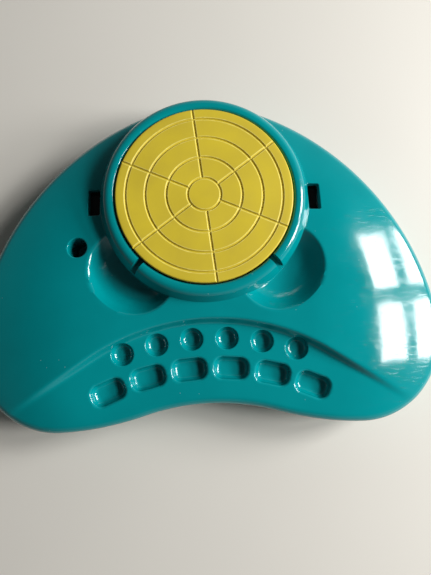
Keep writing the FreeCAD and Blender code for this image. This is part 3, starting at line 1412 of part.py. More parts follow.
def leads():
    """Make the leads between cells, switch and motor; their ends follow the terminals."""
    height = value(CELL_HEIGHT)
    tab_end = value(f"{BAY_HALF} + tray_wall + tab_reach")
    positive = (tab_end, value(f"{CELL_OFFSET} - {TRAY_FORWARD}"), height)
    negative = (tab_end, value(f"-{CELL_OFFSET} - {TRAY_FORWARD}"), height)
    frame = switch_frame()
    blade_end = value("-switch_depth - terminal_length")
    beyond = blade_end - value("lead_exit")
    blades = []
    for aside in (value("switch_length / 4"), -value("switch_length / 4")):
        blades.append([tuple(frame.multVec(FreeCAD.Vector(out, aside, 0))) for out in (blade_end, beyond)])
    cap = value(f"{CAP_BOTTOM} + motor_cap_length / 2")
    tab = value("motor_radius + terminal_length")
    motor_x, motor_y = value(MOTOR_X), value(MOTOR_Y)
    lead("battery_switch_lead", [
        positive,
        (tab_end + 14, positive[1], height),
        (92, -103, 14),
        (106, -72, 10),
        (109, -38, 10),
        (104, -8, 13),
        *reversed(blades[1]),
    ])
    lead("switch_motor_lead", [
        *blades[0],
        (82, 20, 16),
        (65, 31, 12),
        (motor_x + tab + 13, motor_y, cap),
        (motor_x + tab, motor_y, cap),
    ])
    lead("motor_battery_lead", [
        (motor_x - tab, motor_y, cap),
        (motor_x - tab - 12, motor_y, cap),
        (-21, 30, 10),
        (-25, 2, 9.5),
        (-19, -28, 9.5),
        (0, -56, 9.5),
        (28, -78, 9.5),
        (60, -90, 10),
        (84, -108, 13),
        (89, -133, 17),
        (tab_end + 15, negative[1], height),
        negative,
    ])


def check_and_write():
    """Stop if anything failed to build, then write one file per piece."""
    doc.recompute()
    for item in doc.Objects:
        if {"Invalid", "Error"} & set(item.State):
            raise RuntimeError(f"{item.Name} failed: {item.State}")
    for node, item in pieces.items():
        if item.Shape.isNull() or not item.Shape.isValid():
            raise RuntimeError(f"{node} has no sound shape")
    os.makedirs("parts", exist_ok=True)
    for node, item in pieces.items():
        item.Shape.exportStep(f"parts/{node}.step")
        solids = item.Shape.Solids
        print(f"{node}: {len(solids)} solid, {item.Shape.Volume / 1000:.2f} cm3")


def main():
    """Build every piece, then check and write them."""
    top_housing()
    turntable()
    spindle()
    spindle_clip()
    bush("upper_bush", BASIN_UNDER, CHIMNEY_TOP, "bush_flange")
    bush("lower_bush", BUSH_BOTTOM, PLATE_TOP, "bush_flange")
    gear_plate()
    gears()
    idler_shaft()
    motor()
    base_cover()
    battery_door()
    battery_tray()
    batteries()
    switch()
    leads()
    feet()
    screws()
    check_and_write()


main()
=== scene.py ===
"""A child's pottery wheel: glossy kidney-shaped shell, grooved wheel head and the drive inside it.

Sizes are millimetres about the wheel's own axis, with the table at zero height and the front towards -Y.
Meshes are laid into the shared frame, in metres, by one shift.
"""
import json
import logging
import math
from dataclasses import dataclass, field
from enum import Enum
from typing import Sequence

import bmesh
import bpy
import numpy as np
from mathutils import Matrix, Vector


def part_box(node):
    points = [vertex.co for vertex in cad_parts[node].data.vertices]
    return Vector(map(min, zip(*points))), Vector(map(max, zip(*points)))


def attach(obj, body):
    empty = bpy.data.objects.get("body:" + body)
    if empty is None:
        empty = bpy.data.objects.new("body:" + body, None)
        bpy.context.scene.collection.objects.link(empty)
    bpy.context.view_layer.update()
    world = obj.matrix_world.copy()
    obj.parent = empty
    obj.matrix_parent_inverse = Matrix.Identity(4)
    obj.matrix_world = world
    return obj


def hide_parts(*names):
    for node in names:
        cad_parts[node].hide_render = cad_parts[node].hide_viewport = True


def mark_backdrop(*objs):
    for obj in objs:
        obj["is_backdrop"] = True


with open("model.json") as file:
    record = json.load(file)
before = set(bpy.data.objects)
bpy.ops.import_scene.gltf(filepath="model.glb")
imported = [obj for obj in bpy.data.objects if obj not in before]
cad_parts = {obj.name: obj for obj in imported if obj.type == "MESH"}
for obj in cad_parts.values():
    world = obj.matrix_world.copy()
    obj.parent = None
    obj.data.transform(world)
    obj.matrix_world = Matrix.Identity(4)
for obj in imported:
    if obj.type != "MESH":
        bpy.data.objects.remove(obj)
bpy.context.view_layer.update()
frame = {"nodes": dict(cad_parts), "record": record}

MM = 0.001
LOG = logging.getLogger("pottery_wheel")


class Body(str, Enum):
    """The moving groups that a piece can ride on."""

    BASE = "base"
    WHEEL = "wheel"


class Slot(str, Enum):
    """The record's finishes."""

    SHELL = "teal_gloss"
    WHEEL = "wheel_yellow"
    COVER = "base_teal"
    IVORY = "ivory_plastic"
    BLACK = "black_plastic"
    STEEL = "steel"
    BRASS = "brass"
    CELL = "cell_jacket"
    RED_LEAD = "lead_red"
    BLACK_LEAD = "lead_black"
    RUBBER = "rubber"


Wardrobe = dict[Slot, bpy.types.Material]


@dataclass
class Patch:
    """A mesh as arrays: points in millimetres, quads as rows of point numbers, flat caps and point marks."""

    points: np.ndarray
    quads: np.ndarray
    caps: list[np.ndarray] = field(default_factory=list)
    marks: dict[str, np.ndarray] = field(default_factory=dict)

    def faces(self) -> list[list[int]]:
        """Quads and caps as lists."""
        return self.quads.tolist() + [cap.tolist() for cap in self.caps]


def soft_least(first: np.ndarray, second: np.ndarray, blend: float) -> np.ndarray:
    """Lower of two heights, with the crease rounded where they lie within a blend of each other.

    Args:
        first: One height field.
        second: The other height field.
        blend: Height difference, in millimetres, below which the two melt together.

    Returns:
        The blended lower height.
    """
    share = np.clip(0.5 + 0.5 * (second - first) / blend, 0.0, 1.0)
    return second * (1 - share) + first * share - blend * share * (1 - share)


def ease(value: np.ndarray, start: float, end: float) -> np.ndarray:
    """Rise from 0 at start to 1 at end along an S curve with level ends."""
    share = np.clip((value - start) / (end - start), 0.0, 1.0)
    return share ** 3 * (share * (6 * share - 15) + 10)


def arc(centre: tuple[float, float], radius: float, start: float, end: float, steps: int) -> np.ndarray:
    """Points of a circle's arc in a half section, from one angle to another in degrees.

    Args:
        centre: Radius and height of the arc's centre.
        radius: The arc's radius.
        start: First angle.
        end: Last angle.
        steps: Number of points.

    Returns:
        An array of (radius, height) rows.
    """
    angle = np.radians(np.linspace(start, end, steps))
    return np.column_stack((centre[0] + radius * np.cos(angle), centre[1] + radius * np.sin(angle)))


def grid(rows: np.ndarray, closed_rows: bool = False, caps: bool = False) -> Patch:
    """Sheet of quads over a block of points whose columns run round and meet.

    Args:
        rows: Points as (row, column, 3).
        closed_rows: Join the last row to the first.
        caps: Close the first and the last row with a flat face.

    Returns:
        The sheet as a patch.
    """
    count, width = rows.shape[:2]
    number = np.arange(count * width).reshape(count, width)
    lower = number if closed_rows else number[:-1]
    upper = np.roll(number, -1, axis=0) if closed_rows else number[1:]
    quads = np.stack((lower, np.roll(lower, -1, axis=1), np.roll(upper, -1, axis=1), upper), axis=-1)
    return Patch(rows.reshape(-1, 3), quads.reshape(-1, 4), [number[0][::-1], number[-1]] if caps else [])


def merged(patches: Sequence[Patch]) -> Patch:
    """One patch of several, each left as an island.

    Args:
        patches: The patches, in order.

    Returns:
        Their points, quads and caps in one, each patch's point numbers moved up past those before it.
    """
    starts = np.cumsum([0] + [len(patch.points) for patch in patches[:-1]])
    quads = [patch.quads + start for patch, start in zip(patches, starts)]
    caps = [cap + start for patch, start in zip(patches, starts) for cap in patch.caps]
    return Patch(np.concatenate([patch.points for patch in patches]), np.concatenate(quads), caps)


def wheel_shift() -> np.ndarray:
    """Place of the wheel's axis in the shared frame, in metres."""
    low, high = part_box("turntable")
    return np.array(((low.x + high.x) / 2, (low.y + high.y) / 2, 0.0))


def solid(name: str, patch: Patch) -> bpy.types.Object:
    """New object from a patch, in the shared frame, its faces turned outwards.

    Args:
        name: The object's name.
        patch: Closed surface in millimetres about the wheel's axis.

    Returns:
        The linked object.
    """
    mesh = bpy.data.meshes.new(name)
    mesh.from_pydata(patch.points * MM + wheel_shift(), [], patch.faces())
    for mark, values in patch.marks.items():
        mesh.attributes.new(mark, "FLOAT", "POINT").data.foreach_set("value", values)
    work = bmesh.new()
    work.from_mesh(mesh)
    bmesh.ops.recalc_face_normals(work, faces=work.faces)
    work.to_mesh(mesh)
    work.free()
    item = bpy.data.objects.new(name, mesh)
    bpy.context.scene.collection.objects.link(item)
    return item


def smooth(item: bpy.types.Object, crease: float) -> None:
    """Shade a piece smoothly, with edges sharper than an angle in degrees left crisp."""
    item.data.shade_smooth()
    item.data.set_sharp_from_angle(angle=math.radians(crease))


def combined(item: bpy.types.Object, tool: bpy.types.Object, operation: str) -> None:
    """Join a tool to a piece or cut it away, then drop the tool.

    Args:
        item: The piece, whose mesh is replaced.
        tool: Closed object that is added or taken away.
        operation: "UNION" or "DIFFERENCE".
    """
    modifier = item.modifiers.new("shape", "BOOLEAN")
    modifier.operation = operation
    modifier.solver = "MANIFOLD"
    modifier.object = tool
    graph = bpy.context.evaluated_depsgraph_get()
    mesh = bpy.data.meshes.new_from_object(item.evaluated_get(graph))
    item.modifiers.clear()
    mesh.name = item.name
    item.data = mesh
    bpy.data.objects.remove(tool)


@dataclass(frozen=True)
class Plan:
    """Kidney outline: arcs that touch, about the back, flanks, lobes, front and front hollow."""

    back_radius: float = 101.0
    flank_radius: float = 262.0
    lobe_radius: float = 77.0
    lobe_out: float = 132.0
    lobe_forward: float = 119.0
    front_radius: float = 284.0
    hollow_radius: float = 197.5
    hollow_forward: float = 373.5

    @staticmethod
    def meeting(first: np.ndarray, reach: float, second: np.ndarray, other: float) -> np.ndarray:
        """Point at two given distances from two points, to the right of the way between them.

        Args:
            first: One point.
            reach: Distance from it.
            second: The other point.
            other: Distance from that one.

        Returns:
            The point where the two circles cross.
        """
        span = np.linalg.norm(second - first)
        along = (second - first) / span
        forward = (span ** 2 + reach ** 2 - other ** 2) / (2 * span)
        aside = math.sqrt(reach ** 2 - forward ** 2)
        return first + along * forward + np.array((along[1], -along[0])) * aside

    def centres(self) -> list[np.ndarray]:
        """Centres of the right half's arcs, at the distances at which neighbouring arcs touch.

        Returns:
            The centres of back, flank, lobe, front and hollow.
        """
        back = np.zeros(2)
        lobe = np.array((self.lobe_out, -self.lobe_forward))
        hollow = np.array((0.0, -self.hollow_forward))
        flank = self.meeting(back, self.flank_radius - self.back_radius, lobe, self.flank_radius - self.lobe_radius)
        front = self.meeting(lobe, self.front_radius - self.lobe_radius, hollow,
                             self.front_radius + self.hollow_radius)
        return [back, flank, lobe, front, hollow]

    def sample(self, columns: int) -> tuple[np.ndarray, np.ndarray]:
        """Evenly spaced points round the outline, clockwise from the back.

        The right half is walked by length from arc to arc, and the left half mirrors it.

        Args:
            columns: Number of points, an even number.

        Returns:
            Points and outward directions, each as (columns, 2).
        """
        back, flank, lobe, front, hollow = centres = self.centres()
        radii = np.array((self.back_radius, self.flank_radius, self.lobe_radius, self.front_radius,
                          self.hollow_radius))
        joints = []
        for outer, inner, radius in ((flank, back, self.flank_radius), (flank, lobe, self.flank_radius),
                                     (front, lobe, self.front_radius), (front, hollow, self.front_radius)):
            joints.append(outer + (inner - outer) / np.linalg.norm(inner - outer) * radius)
        stops = [np.array((0.0, self.back_radius)), *joints, np.array((0.0, self.hollow_radius - self.hollow_forward))]
        angles = np.array([[math.atan2(*(stop - centre)[::-1]) for stop in pair]
                           for centre, pair in zip(centres, zip(stops, stops[1:]))])
        sweep = angles[:, 1] - angles[:, 0]
        lengths = radii * np.abs(sweep)
        ends = np.concatenate(([0.0], np.cumsum(lengths)))
        walked = np.linspace(0.0, ends[-1], columns // 2 + 1)
        which = np.clip(np.searchsorted(ends, walked, side="right") - 1, 0, len(radii) - 1)
        angle = angles[which, 0] + sweep[which] * (walked - ends[which]) / lengths[which]
        unit = np.column_stack((np.cos(angle), np.sin(angle)))
        points = np.array(centres)[which] + radii[which, None] * unit
        outward = unit * np.where(which == len(radii) - 1, -1.0, 1.0)[:, None]
        flip = np.array((-1.0, 1.0))
        return (np.concatenate((points, points[-2:0:-1] * flip)),
                np.concatenate((outward, outward[-2:0:-1] * flip)))


@dataclass(frozen=True)
class Deck:
    """Top of the base as a height over the plan: two flat-topped domes, a step between them and two scoops."""

    deck_height: float = 60.0
    deck_flat: float = 88.0
    deck_crown: float = 328.0
    terrace_height: float = 51.5
    terrace_flat: float = 130.0
    terrace_crown: float = 235.0
    arch_forward: float = 106.0
    step_forward: float = 103.3
    step_radius: float = 190.0
    step_half_angle: float = 32.0
    step_foot: float = -5.6
    step_brow: float = 1.8
    dome_blend: float = 2.0
    scoop_out: float = 64.35
    scoop_forward: float = 60.81
    scoop_reach: float = 35.5
    scoop_half_length: float = 39.0
    scoop_depth: float = 18.0
    scoop_blend: float = 2.2
    scoop_power: float = 3.4
    terrace_thick: float = 13.0
    deck_thick: float = 18.5
    rim_thick: float = 9.0
    thicken: tuple[float, float] = (0.35, 0.7)

    @staticmethod
    def crown(reach: np.ndarray, top: float, flat: float, radius: float) -> np.ndarray:
        """Flat top out to one radius, then an arc that falls away."""
        return top - radius + np.sqrt(radius ** 2 - np.maximum(reach - flat, 0.0) ** 2)

    def behind_step(self, plan: np.ndarray) -> np.ndarray:
        """Share of the deck at a place: 0 on the terrace, 1 behind the step's arc and its straight ends.

        The distance behind the step's line is eased from the step's foot to its brow.

        Args:
            plan: Places as (count, 2).

        Returns:
            Shares from 0 to 1.
        """
        half = math.radians(self.step_half_angle)
        x, y = np.abs(plan[:, 0]), plan[:, 1] + self.step_forward + self.step_radius
        straight = x * math.sin(half) + y * math.cos(half)
        distance = np.where(np.arctan2(x, y) < half, np.hypot(x, y), straight) - self.step_radius
        return ease(distance, self.step_foot, self.step_brow)

    def height(self, plan: np.ndarray) -> np.ndarray:
        """Height of the top surface over plan points.

        The terrace's dome, plus what the deck's dome stands above it behind the step, less two oval bowls that
        lie along the collar.

        Args:
            plan: Places as (count, 2).

        Returns:
            Heights above the table.
        """
        reach = np.hypot(plan[:, 0], plan[:, 1] + self.arch_forward)
        deck = self.crown(reach, self.deck_height, self.deck_flat, self.deck_crown)
        terrace = self.crown(reach, self.terrace_height, self.terrace_flat, self.terrace_crown)
        rise = -soft_least(terrace - deck, np.zeros_like(deck), self.dome_blend)
        top = terrace + rise * self.behind_step(plan)
        for side in (1, -1):
            x, y = side * plan[:, 0] - self.scoop_out, plan[:, 1] + self.scoop_forward
            away = np.hypot((x - y) / self.scoop_reach, (x + y) / self.scoop_half_length) / math.sqrt(2)
            bowl = self.deck_height + self.scoop_depth * (away ** self.scoop_power - 1)
            top = soft_least(top, bowl, self.scoop_blend)
        return top

    def under(self, plan: np.ndarray, inward: float) -> np.ndarray:
        """Height of the moulding's underside, thick enough for the pockets and thin near the rim.

        Args:
            plan: Places as (count, 2).
            inward: Share of the way from the outer wall to the basin, for all the places.

        Returns:
            Heights above the table.
        """
        share = float(ease(np.array(inward), *self.thicken))
        behind = self.rim_thick + (self.deck_thick - self.rim_thick) * share
        return self.height(plan) - self.terrace_thick - (behind - self.terrace_thick) * self.behind_step(plan)


@dataclass(frozen=True)
class Pocket:
    """A pocket sunk into the top: the plan outline of its mouth, its floor level, floor round and lip round."""

    outline: np.ndarray
    outward: np.ndarray
    floor: float
    floor_round: float
    lip: float
    floor_rows: int = 9
    lip_rows: int = 8
    lip_turn: float = 84.0
    flare: float = 0.2

    CORNER_POINTS = 16

    @classmethod
    def oblong(cls, centre: tuple[float, float], size: tuple[float, float], corner: float, turn: float,
               floor: float, floor_round: float, lip: float) -> "Pocket":
        """Pocket with straight sides and round corners; a corner of half the size makes it round.

        Args:
            centre: Middle of the pocket.
            size: Length and width.
            corner: Corner radius.
            turn: Turn of the length from the X axis, in degrees.
            floor: Floor height.
            floor_round: Radius between floor and wall.
            lip: Radius at the mouth.

        Returns:
            The pocket.
        """
        straight = np.array(size) / 2 - corner
        quarter = np.linspace(0, 90, cls.CORNER_POINTS, endpoint=bool(straight.max() > 0))
        angle = np.radians(quarter[None, :] + np.array((0, 90, 180, 270))[:, None])
        unit = np.stack((np.cos(angle), np.sin(angle)), axis=-1)
        signs = np.array(((1, 1), (-1, 1), (-1, -1), (1, -1)))[:, None, :]
        outline = (signs * straight + corner * unit).reshape(-1, 2)
        cos, sin = math.cos(math.radians(turn)), math.sin(math.radians(turn))
        spin = np.array(((cos, sin), (-sin, cos)))
        return cls(outline @ spin + np.array(centre), unit.reshape(-1, 2) @ spin, floor, floor_round, lip)

    def cutter(self, deck: Deck, above: float) -> Patch:
        """Solid that sinks the pocket: floor, floor round, wall, a flared lip and a way up.

        Args:
            deck: The top surface that the lip follows.
            above: Height of the cutter's top.

        Returns:
            The closed cutter.
        """
        def level(offset: float, height: float) -> np.ndarray:
            """Outline moved outwards by an offset, at one height."""
            plan = self.outline + offset * self.outward
            return np.column_stack((plan, np.full(len(plan), height)))

        def along_deck(offset: float, height: float) -> np.ndarray:
            """Outline moved outwards by an offset, at a height over the deck."""
            plan = self.outline + offset * self.outward
            return np.column_stack((plan, deck.height(plan) + height))

        rows = []
        for turn in np.radians(np.linspace(0, 90, self.floor_rows)):
            rows.append(level(self.floor_round * (math.sin(turn) - 1) - self.lip,
                              self.floor + self.floor_round * (1 - math.cos(turn))))
        for turn in np.radians(np.linspace(0, self.lip_turn, self.lip_rows)):
            rows.append(along_deck(-self.lip * math.cos(turn), self.lip * (math.sin(turn) - 1)))
        rows.append(along_deck(self.flare * self.lip, self.flare / 2 * self.lip))
        rows.append(level(self.flare * self.lip, above))
        return grid(np.stack(rows), caps=True)


@dataclass
class Shell:
    """The teal moulding: collar and basin, top surface, rim, walls and underside as one closed surface."""

    plan: Plan = field(default_factory=Plan)
    deck: Deck = field(default_factory=Deck)
    columns: int = 480
    deck_rows: int = 74
    inner_rows: int = 12
    rim_rows: int = 13
    wall_rows: int = 6
    round_rows: int = 8
    brow_rows: int = 12
    side_rows: int = 7
    rim_round: float = 7.5
    rim_band: float = 12.0
    wall: float = 2.6
    skin: float = 0.03
    bottom: float = 3.0
    bottom_round: float = 0.6
    collar_inner: float = 76.2
    collar_outer: float = 84.0
    collar_foot: float = 90.0
    collar_top: float = 71.0
    collar_round: float = 2.5
    collar_brow: float = 7.0
    basin_floor: float = 57.0
    basin_under: float = 54.4
    bush_radius: float = 6.04
    chimney_radius: float = 9.0
    chimney_top: float = 63.48
    foot_round: float = 1.4
    foot_shares: tuple[float, ...] = (0.35, 0.7, 1.0)
    foot_turns: tuple[float, ...] = (25.0, 55.0)
    inside_shares: tuple[float, ...] = (0.0, 0.5)
    notch_angle: float = 45.0
    notch_width: float = 5.4
    notch_floor: float = 61.5
    per_side: int = 3
    well_arc: float = 55.7
    well_pitch: float = 6.85
    well_radius: float = 10.3
    well_lip: float = 0.8
    well_floor: float = 44.3
    well_round: float = 6.0
    trough_arc: float = 30.5
    trough_pitch: float = 8.95
    trough_size: tuple[float, float] = (33.0, 22.5)
    trough_corner: float = 9.5
    trough_lip: float = 2.2
    trough_floor: float = 43.7
    trough_round: float = 5.5
    slot_out: float = 96.6
    slot_back: float = 1.0
    slot_size: tuple[float, float] = (10.6, 24.0)
    slot_corner: float = 1.5
    slot_floor: float = 44.0
    slot_lip: float = 0.5
    slot_round: float = 0.3
    hole_place: tuple[float, float] = (-110.83, -39.03)
    hole_radius: float = 8.5
    hole_floor: float = 25.0
    hole_lip: float = 1.0
    hole_round: float = 1.0
    cup_wall: float = 1.8
    shaft_gap: float = 0.05
    switch_angle: float = 49.6
    switch_height: float = 20.0
    bezel_size: tuple[float, float] = (21.3, 15.3)
    bezel_sink: float = 0.83
    case_size: tuple[float, float] = (18.3, 12.3)
    case_sink: float = 7.8
    cut_above: float = 5.0
    crease: float = 38.0

    def collar_section(self) -> np.ndarray:
        """Half section from the spindle's bore over chimney, basin and collar to the collar's foot.

        The collar's inner edge and brow are arcs, and its side is a straight slope that leaves the brow's arc
        without a kink.

        Returns:
            Rows of (radius, height).
        """
        fall = self.collar_top - self.deck.deck_height
        slope = math.degrees(math.atan2(self.collar_foot - self.collar_outer, fall))
        tangent = self.collar_brow * math.tan(math.radians((90 - slope) / 2))
        inner = arc((self.collar_inner + self.collar_round, self.collar_top - self.collar_round), self.collar_round,
                    180, 90, self.round_rows)
        outer = arc((self.collar_outer - tangent, self.collar_top - self.collar_brow), self.collar_brow, 90, slope,
                    self.brow_rows)
        foot = np.array((self.collar_foot, self.deck.deck_height))
        side = outer[-1] + (foot - outer[-1]) * np.linspace(0, 1, self.side_rows)[1:, None]
        well = np.array((
            (self.bush_radius, self.basin_under),
            (self.bush_radius, self.chimney_top),
            (self.chimney_radius, self.chimney_top),
            (self.chimney_radius, self.basin_floor),
            (self.collar_inner / 2, self.basin_floor),
            (self.collar_inner, self.basin_floor),
        ))
        return np.concatenate((well, inner, outer, side))

    def surface(self) -> Patch:
        """The whole moulding, as rows that run from the bore out over the top, round the rim and back inside.

        Every column follows one ray from the wheel's axis to a point of the outline. Rows are rings on the
        collar, blends between the collar's foot and the outline on the deck, and insets of the outline at the rim.

        Returns:
            The closed patch.
        """
        edge, outward = self.plan.sample(self.columns)
        edge = edge - self.skin * outward
        band = edge - self.rim_band * outward
        ray = band / np.linalg.norm(band, axis=1)[:, None]

        def raised(plan: np.ndarray, height: np.ndarray | float) -> np.ndarray:
            """Plan points set at a height, or each at its own."""
            return np.column_stack((plan, np.broadcast_to(height, len(plan))))

        rows = [raised(radius * ray, height) for radius, height in self.collar_section()]
        top = self.deck.deck_height
        low = self.deck.height(self.collar_foot * ray)
        fillet = np.clip(0.5 * (top - low), 0.0, self.foot_round)
        for share in self.foot_shares:
            rows.append(raised(self.collar_foot * ray, top + (low + fillet - top) * share))
        for turn in np.radians(self.foot_turns):
            spread = fillet * (1 - math.cos(turn))
            rows.append(raised((self.collar_foot + spread)[:, None] * ray, low + fillet * (1 - math.sin(turn))))
        start = (self.collar_foot + fillet)[:, None] * ray
        for share in np.linspace(0, 1, self.deck_rows):
            plan = start + (band - start) * share
            rows.append(raised(plan, self.deck.height(plan)))
        for turn in np.radians(np.linspace(0, 90, self.rim_rows)):
            plan = edge - self.rim_round * (1 - math.sin(turn)) * outward
            rows.append(raised(plan, self.deck.height(plan) - self.rim_round * (1 - math.cos(turn))))
        brow = self.deck.height(edge) - self.rim_round
        foot = self.bottom + self.bottom_round
        for share in np.linspace(0, 1, self.wall_rows)[1:]:
            rows.append(raised(edge, brow + (foot - brow) * share))
        rows.append(raised(edge - self.bottom_round * outward, self.bottom))
        inside = edge - self.wall * outward
        ceiling = self.deck.under(inside, 0.0)
        for share in self.inside_shares:
            rows.append(raised(inside, self.bottom + (ceiling - self.bottom) * share))
        hatch = (self.collar_foot - self.wall) * ray
        for share in np.linspace(0, 1, self.inner_rows):
            plan = inside + (hatch - inside) * share
            rows.append(raised(plan, self.deck.under(plan, share)))
        rows.append(raised(hatch, self.basin_under))
        rows.append(raised(hatch / 2, self.basin_under))
        return grid(np.stack(rows), closed_rows=True)

    def fanned(self, arc_radius: float, pitch: float) -> list[tuple[float, float, float]]:
        """Places along an arc about the front hollow's centre, as many to each side.

        Args:
            arc_radius: Distance of the arc behind the front edge's hollow.
            pitch: Angle from one place to the next, in degrees.

        Returns:
            Each place's x, y and turn.
        """
        angles = [side * (index + 0.5) * pitch for index in range(self.per_side) for side in (1, -1)]
        reach = self.plan.hollow_radius + arc_radius
        return [(reach * math.sin(math.radians(angle)),
                 reach * math.cos(math.radians(angle)) - self.plan.hollow_forward, -angle) for angle in angles]

    def pockets(self) -> list[Pocket]:
        """Paint wells, troughs, accessory slots and the tool hole.

        Returns:
            Every pocket of the top.
        """
        made = []
        round_size = (2 * self.well_radius, 2 * self.well_radius)
        for x, y, turn in self.fanned(self.well_arc, self.well_pitch):
            made.append(Pocket.oblong((x, y), round_size, self.well_radius, turn, self.well_floor,
                                      self.well_round, self.well_lip))
        for x, y, turn in self.fanned(self.trough_arc, self.trough_pitch):
            made.append(Pocket.oblong((x, y), self.trough_size, self.trough_corner, turn, self.trough_floor,
                                      self.trough_round, self.trough_lip))
        for side in (1, -1):
            mouth = (self.slot_size[0] + 2 * self.slot_lip, self.slot_size[1] + 2 * self.slot_lip)
            place = (side * self.slot_out, self.slot_back)
            made.append(Pocket.oblong(place, mouth, self.slot_corner + self.slot_lip, 0.0, self.slot_floor,
                                      self.slot_round, self.slot_lip))
        mouth = self.hole_radius + self.hole_lip
        made.append(Pocket.oblong(self.hole_place, (2 * mouth, 2 * mouth), mouth, 0.0, self.hole_floor, self.hole_round,
                                  self.hole_lip))
        return made

    @staticmethod
    def box(low: Sequence[float], high: Sequence[float], turn: float, place: Sequence[float]) -> Patch:
        """Box between two corners, turned about the upright axis and then moved.

        Args:
            low: Its low corner.
            high: Its high corner.
            turn: Its turn, in degrees.
            place: Where its own zero point goes.

        Returns:
            The closed box.
        """
        sides = np.array(((low[0], low[1]), (high[0], low[1]), (high[0], high[1]), (low[0], high[1])))
        cos, sin = math.cos(math.radians(turn)), math.sin(math.radians(turn))
        plan = sides @ np.array(((cos, sin), (-sin, cos))) + np.array(place[:2])
        rows = [np.column_stack((plan, np.full(4, place[2] + height))) for height in (low[2], high[2])]
        return grid(np.stack(rows), caps=True)

    def switch_cut(self, size: tuple[float, float], depth: float) -> Patch:
        """Box sunk into the right flank about the switch's middle.

        Args:
            size: Length along the flank and height.
            depth: How far it reaches in from the flank.

        Returns:
            The closed box.
        """
        angle = math.radians(self.switch_angle)
        spot = self.plan.centres()[1] + self.plan.flank_radius * np.array((math.cos(angle), math.sin(angle)))
        return self.box((-depth, -size[0] / 2, -size[1] / 2), (self.wall, size[0] / 2, size[1] / 2),
                        self.switch_angle, (*spot, self.switch_height))

    def cutters(self) -> list[Patch]:
        """What is taken out of the moulding: pockets, collar notches, switch window and shaft socket.

        Returns:
            Two sets of solids; within a set they keep clear of each other.
        """
        above = self.collar_top + self.cut_above
        parts = [pocket.cutter(self.deck, above) for pocket in self.pockets()]
        half = self.notch_width / 2
        for side in (1, -1):
            parts.append(self.box((self.collar_inner - self.wall, -half, self.notch_floor),
                                  (self.collar_foot + self.wall, half, above), side * self.notch_angle - 90,
                                  (0, 0, 0)))
        parts.append(self.switch_cut(self.bezel_size, self.bezel_sink))
        inner = [self.switch_cut(self.case_size, self.case_sink), self.shaft_socket()]
        return [merged(parts), merged(inner)]

    @staticmethod
    def post(place: tuple[float, float], size: float, levels: tuple[float, float]) -> Patch:
        """Upright round post.

        Args:
            place: Its axis.
            size: Its diameter.
            levels: Heights of its two ends.

        Returns:
            The closed post.
        """
        ring = Pocket.oblong(place, (size, size), size / 2, 0.0, 0.0, 0.0, 0.0).outline
        return grid(np.stack([np.column_stack((ring, np.full(len(ring), level))) for level in levels]), caps=True)

    def tool_cup(self) -> Patch:
        """Solid post under the tool hole, from below its floor up into the moulding's wall."""
        levels = (self.hole_floor - self.cup_wall, self.deck.terrace_height - self.wall)
        return self.post(self.hole_place, 2 * (self.hole_radius + self.cup_wall), levels)

    def shaft_socket(self) -> Patch:
        """Room for the idler shaft's upper end in the underside of the basin.

        Returns:
            The closed post that is cut out.
        """
        low, high = ((np.array(corner) - wheel_shift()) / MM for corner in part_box("idler_shaft"))
        levels = (self.basin_under - self.wall, high[2] + self.shaft_gap)
        return self.post(tuple((low + high)[:2] / 2), high[0] - low[0] + 2 * self.shaft_gap, levels)

    def build(self) -> bpy.types.Object:
        """Make the moulding: surface, tool cup, then every pocket, notch, window and socket cut.

        Returns:
            The moulding's object.
        """
        shell = solid("teal_shell", self.surface())
        combined(shell, solid("tool_cup", self.tool_cup()), "UNION")
        for part in self.cutters():
            combined(shell, solid("pockets", part), "DIFFERENCE")
        smooth(shell, self.crease)
        return shell

    @staticmethod
    def dress(item: bpy.types.Object, materials: Wardrobe) -> None:
        """Give the moulding its gloss and let it stand for the top housing."""
        settle(item, Body.BASE, "top_housing", materials[Slot.SHELL])


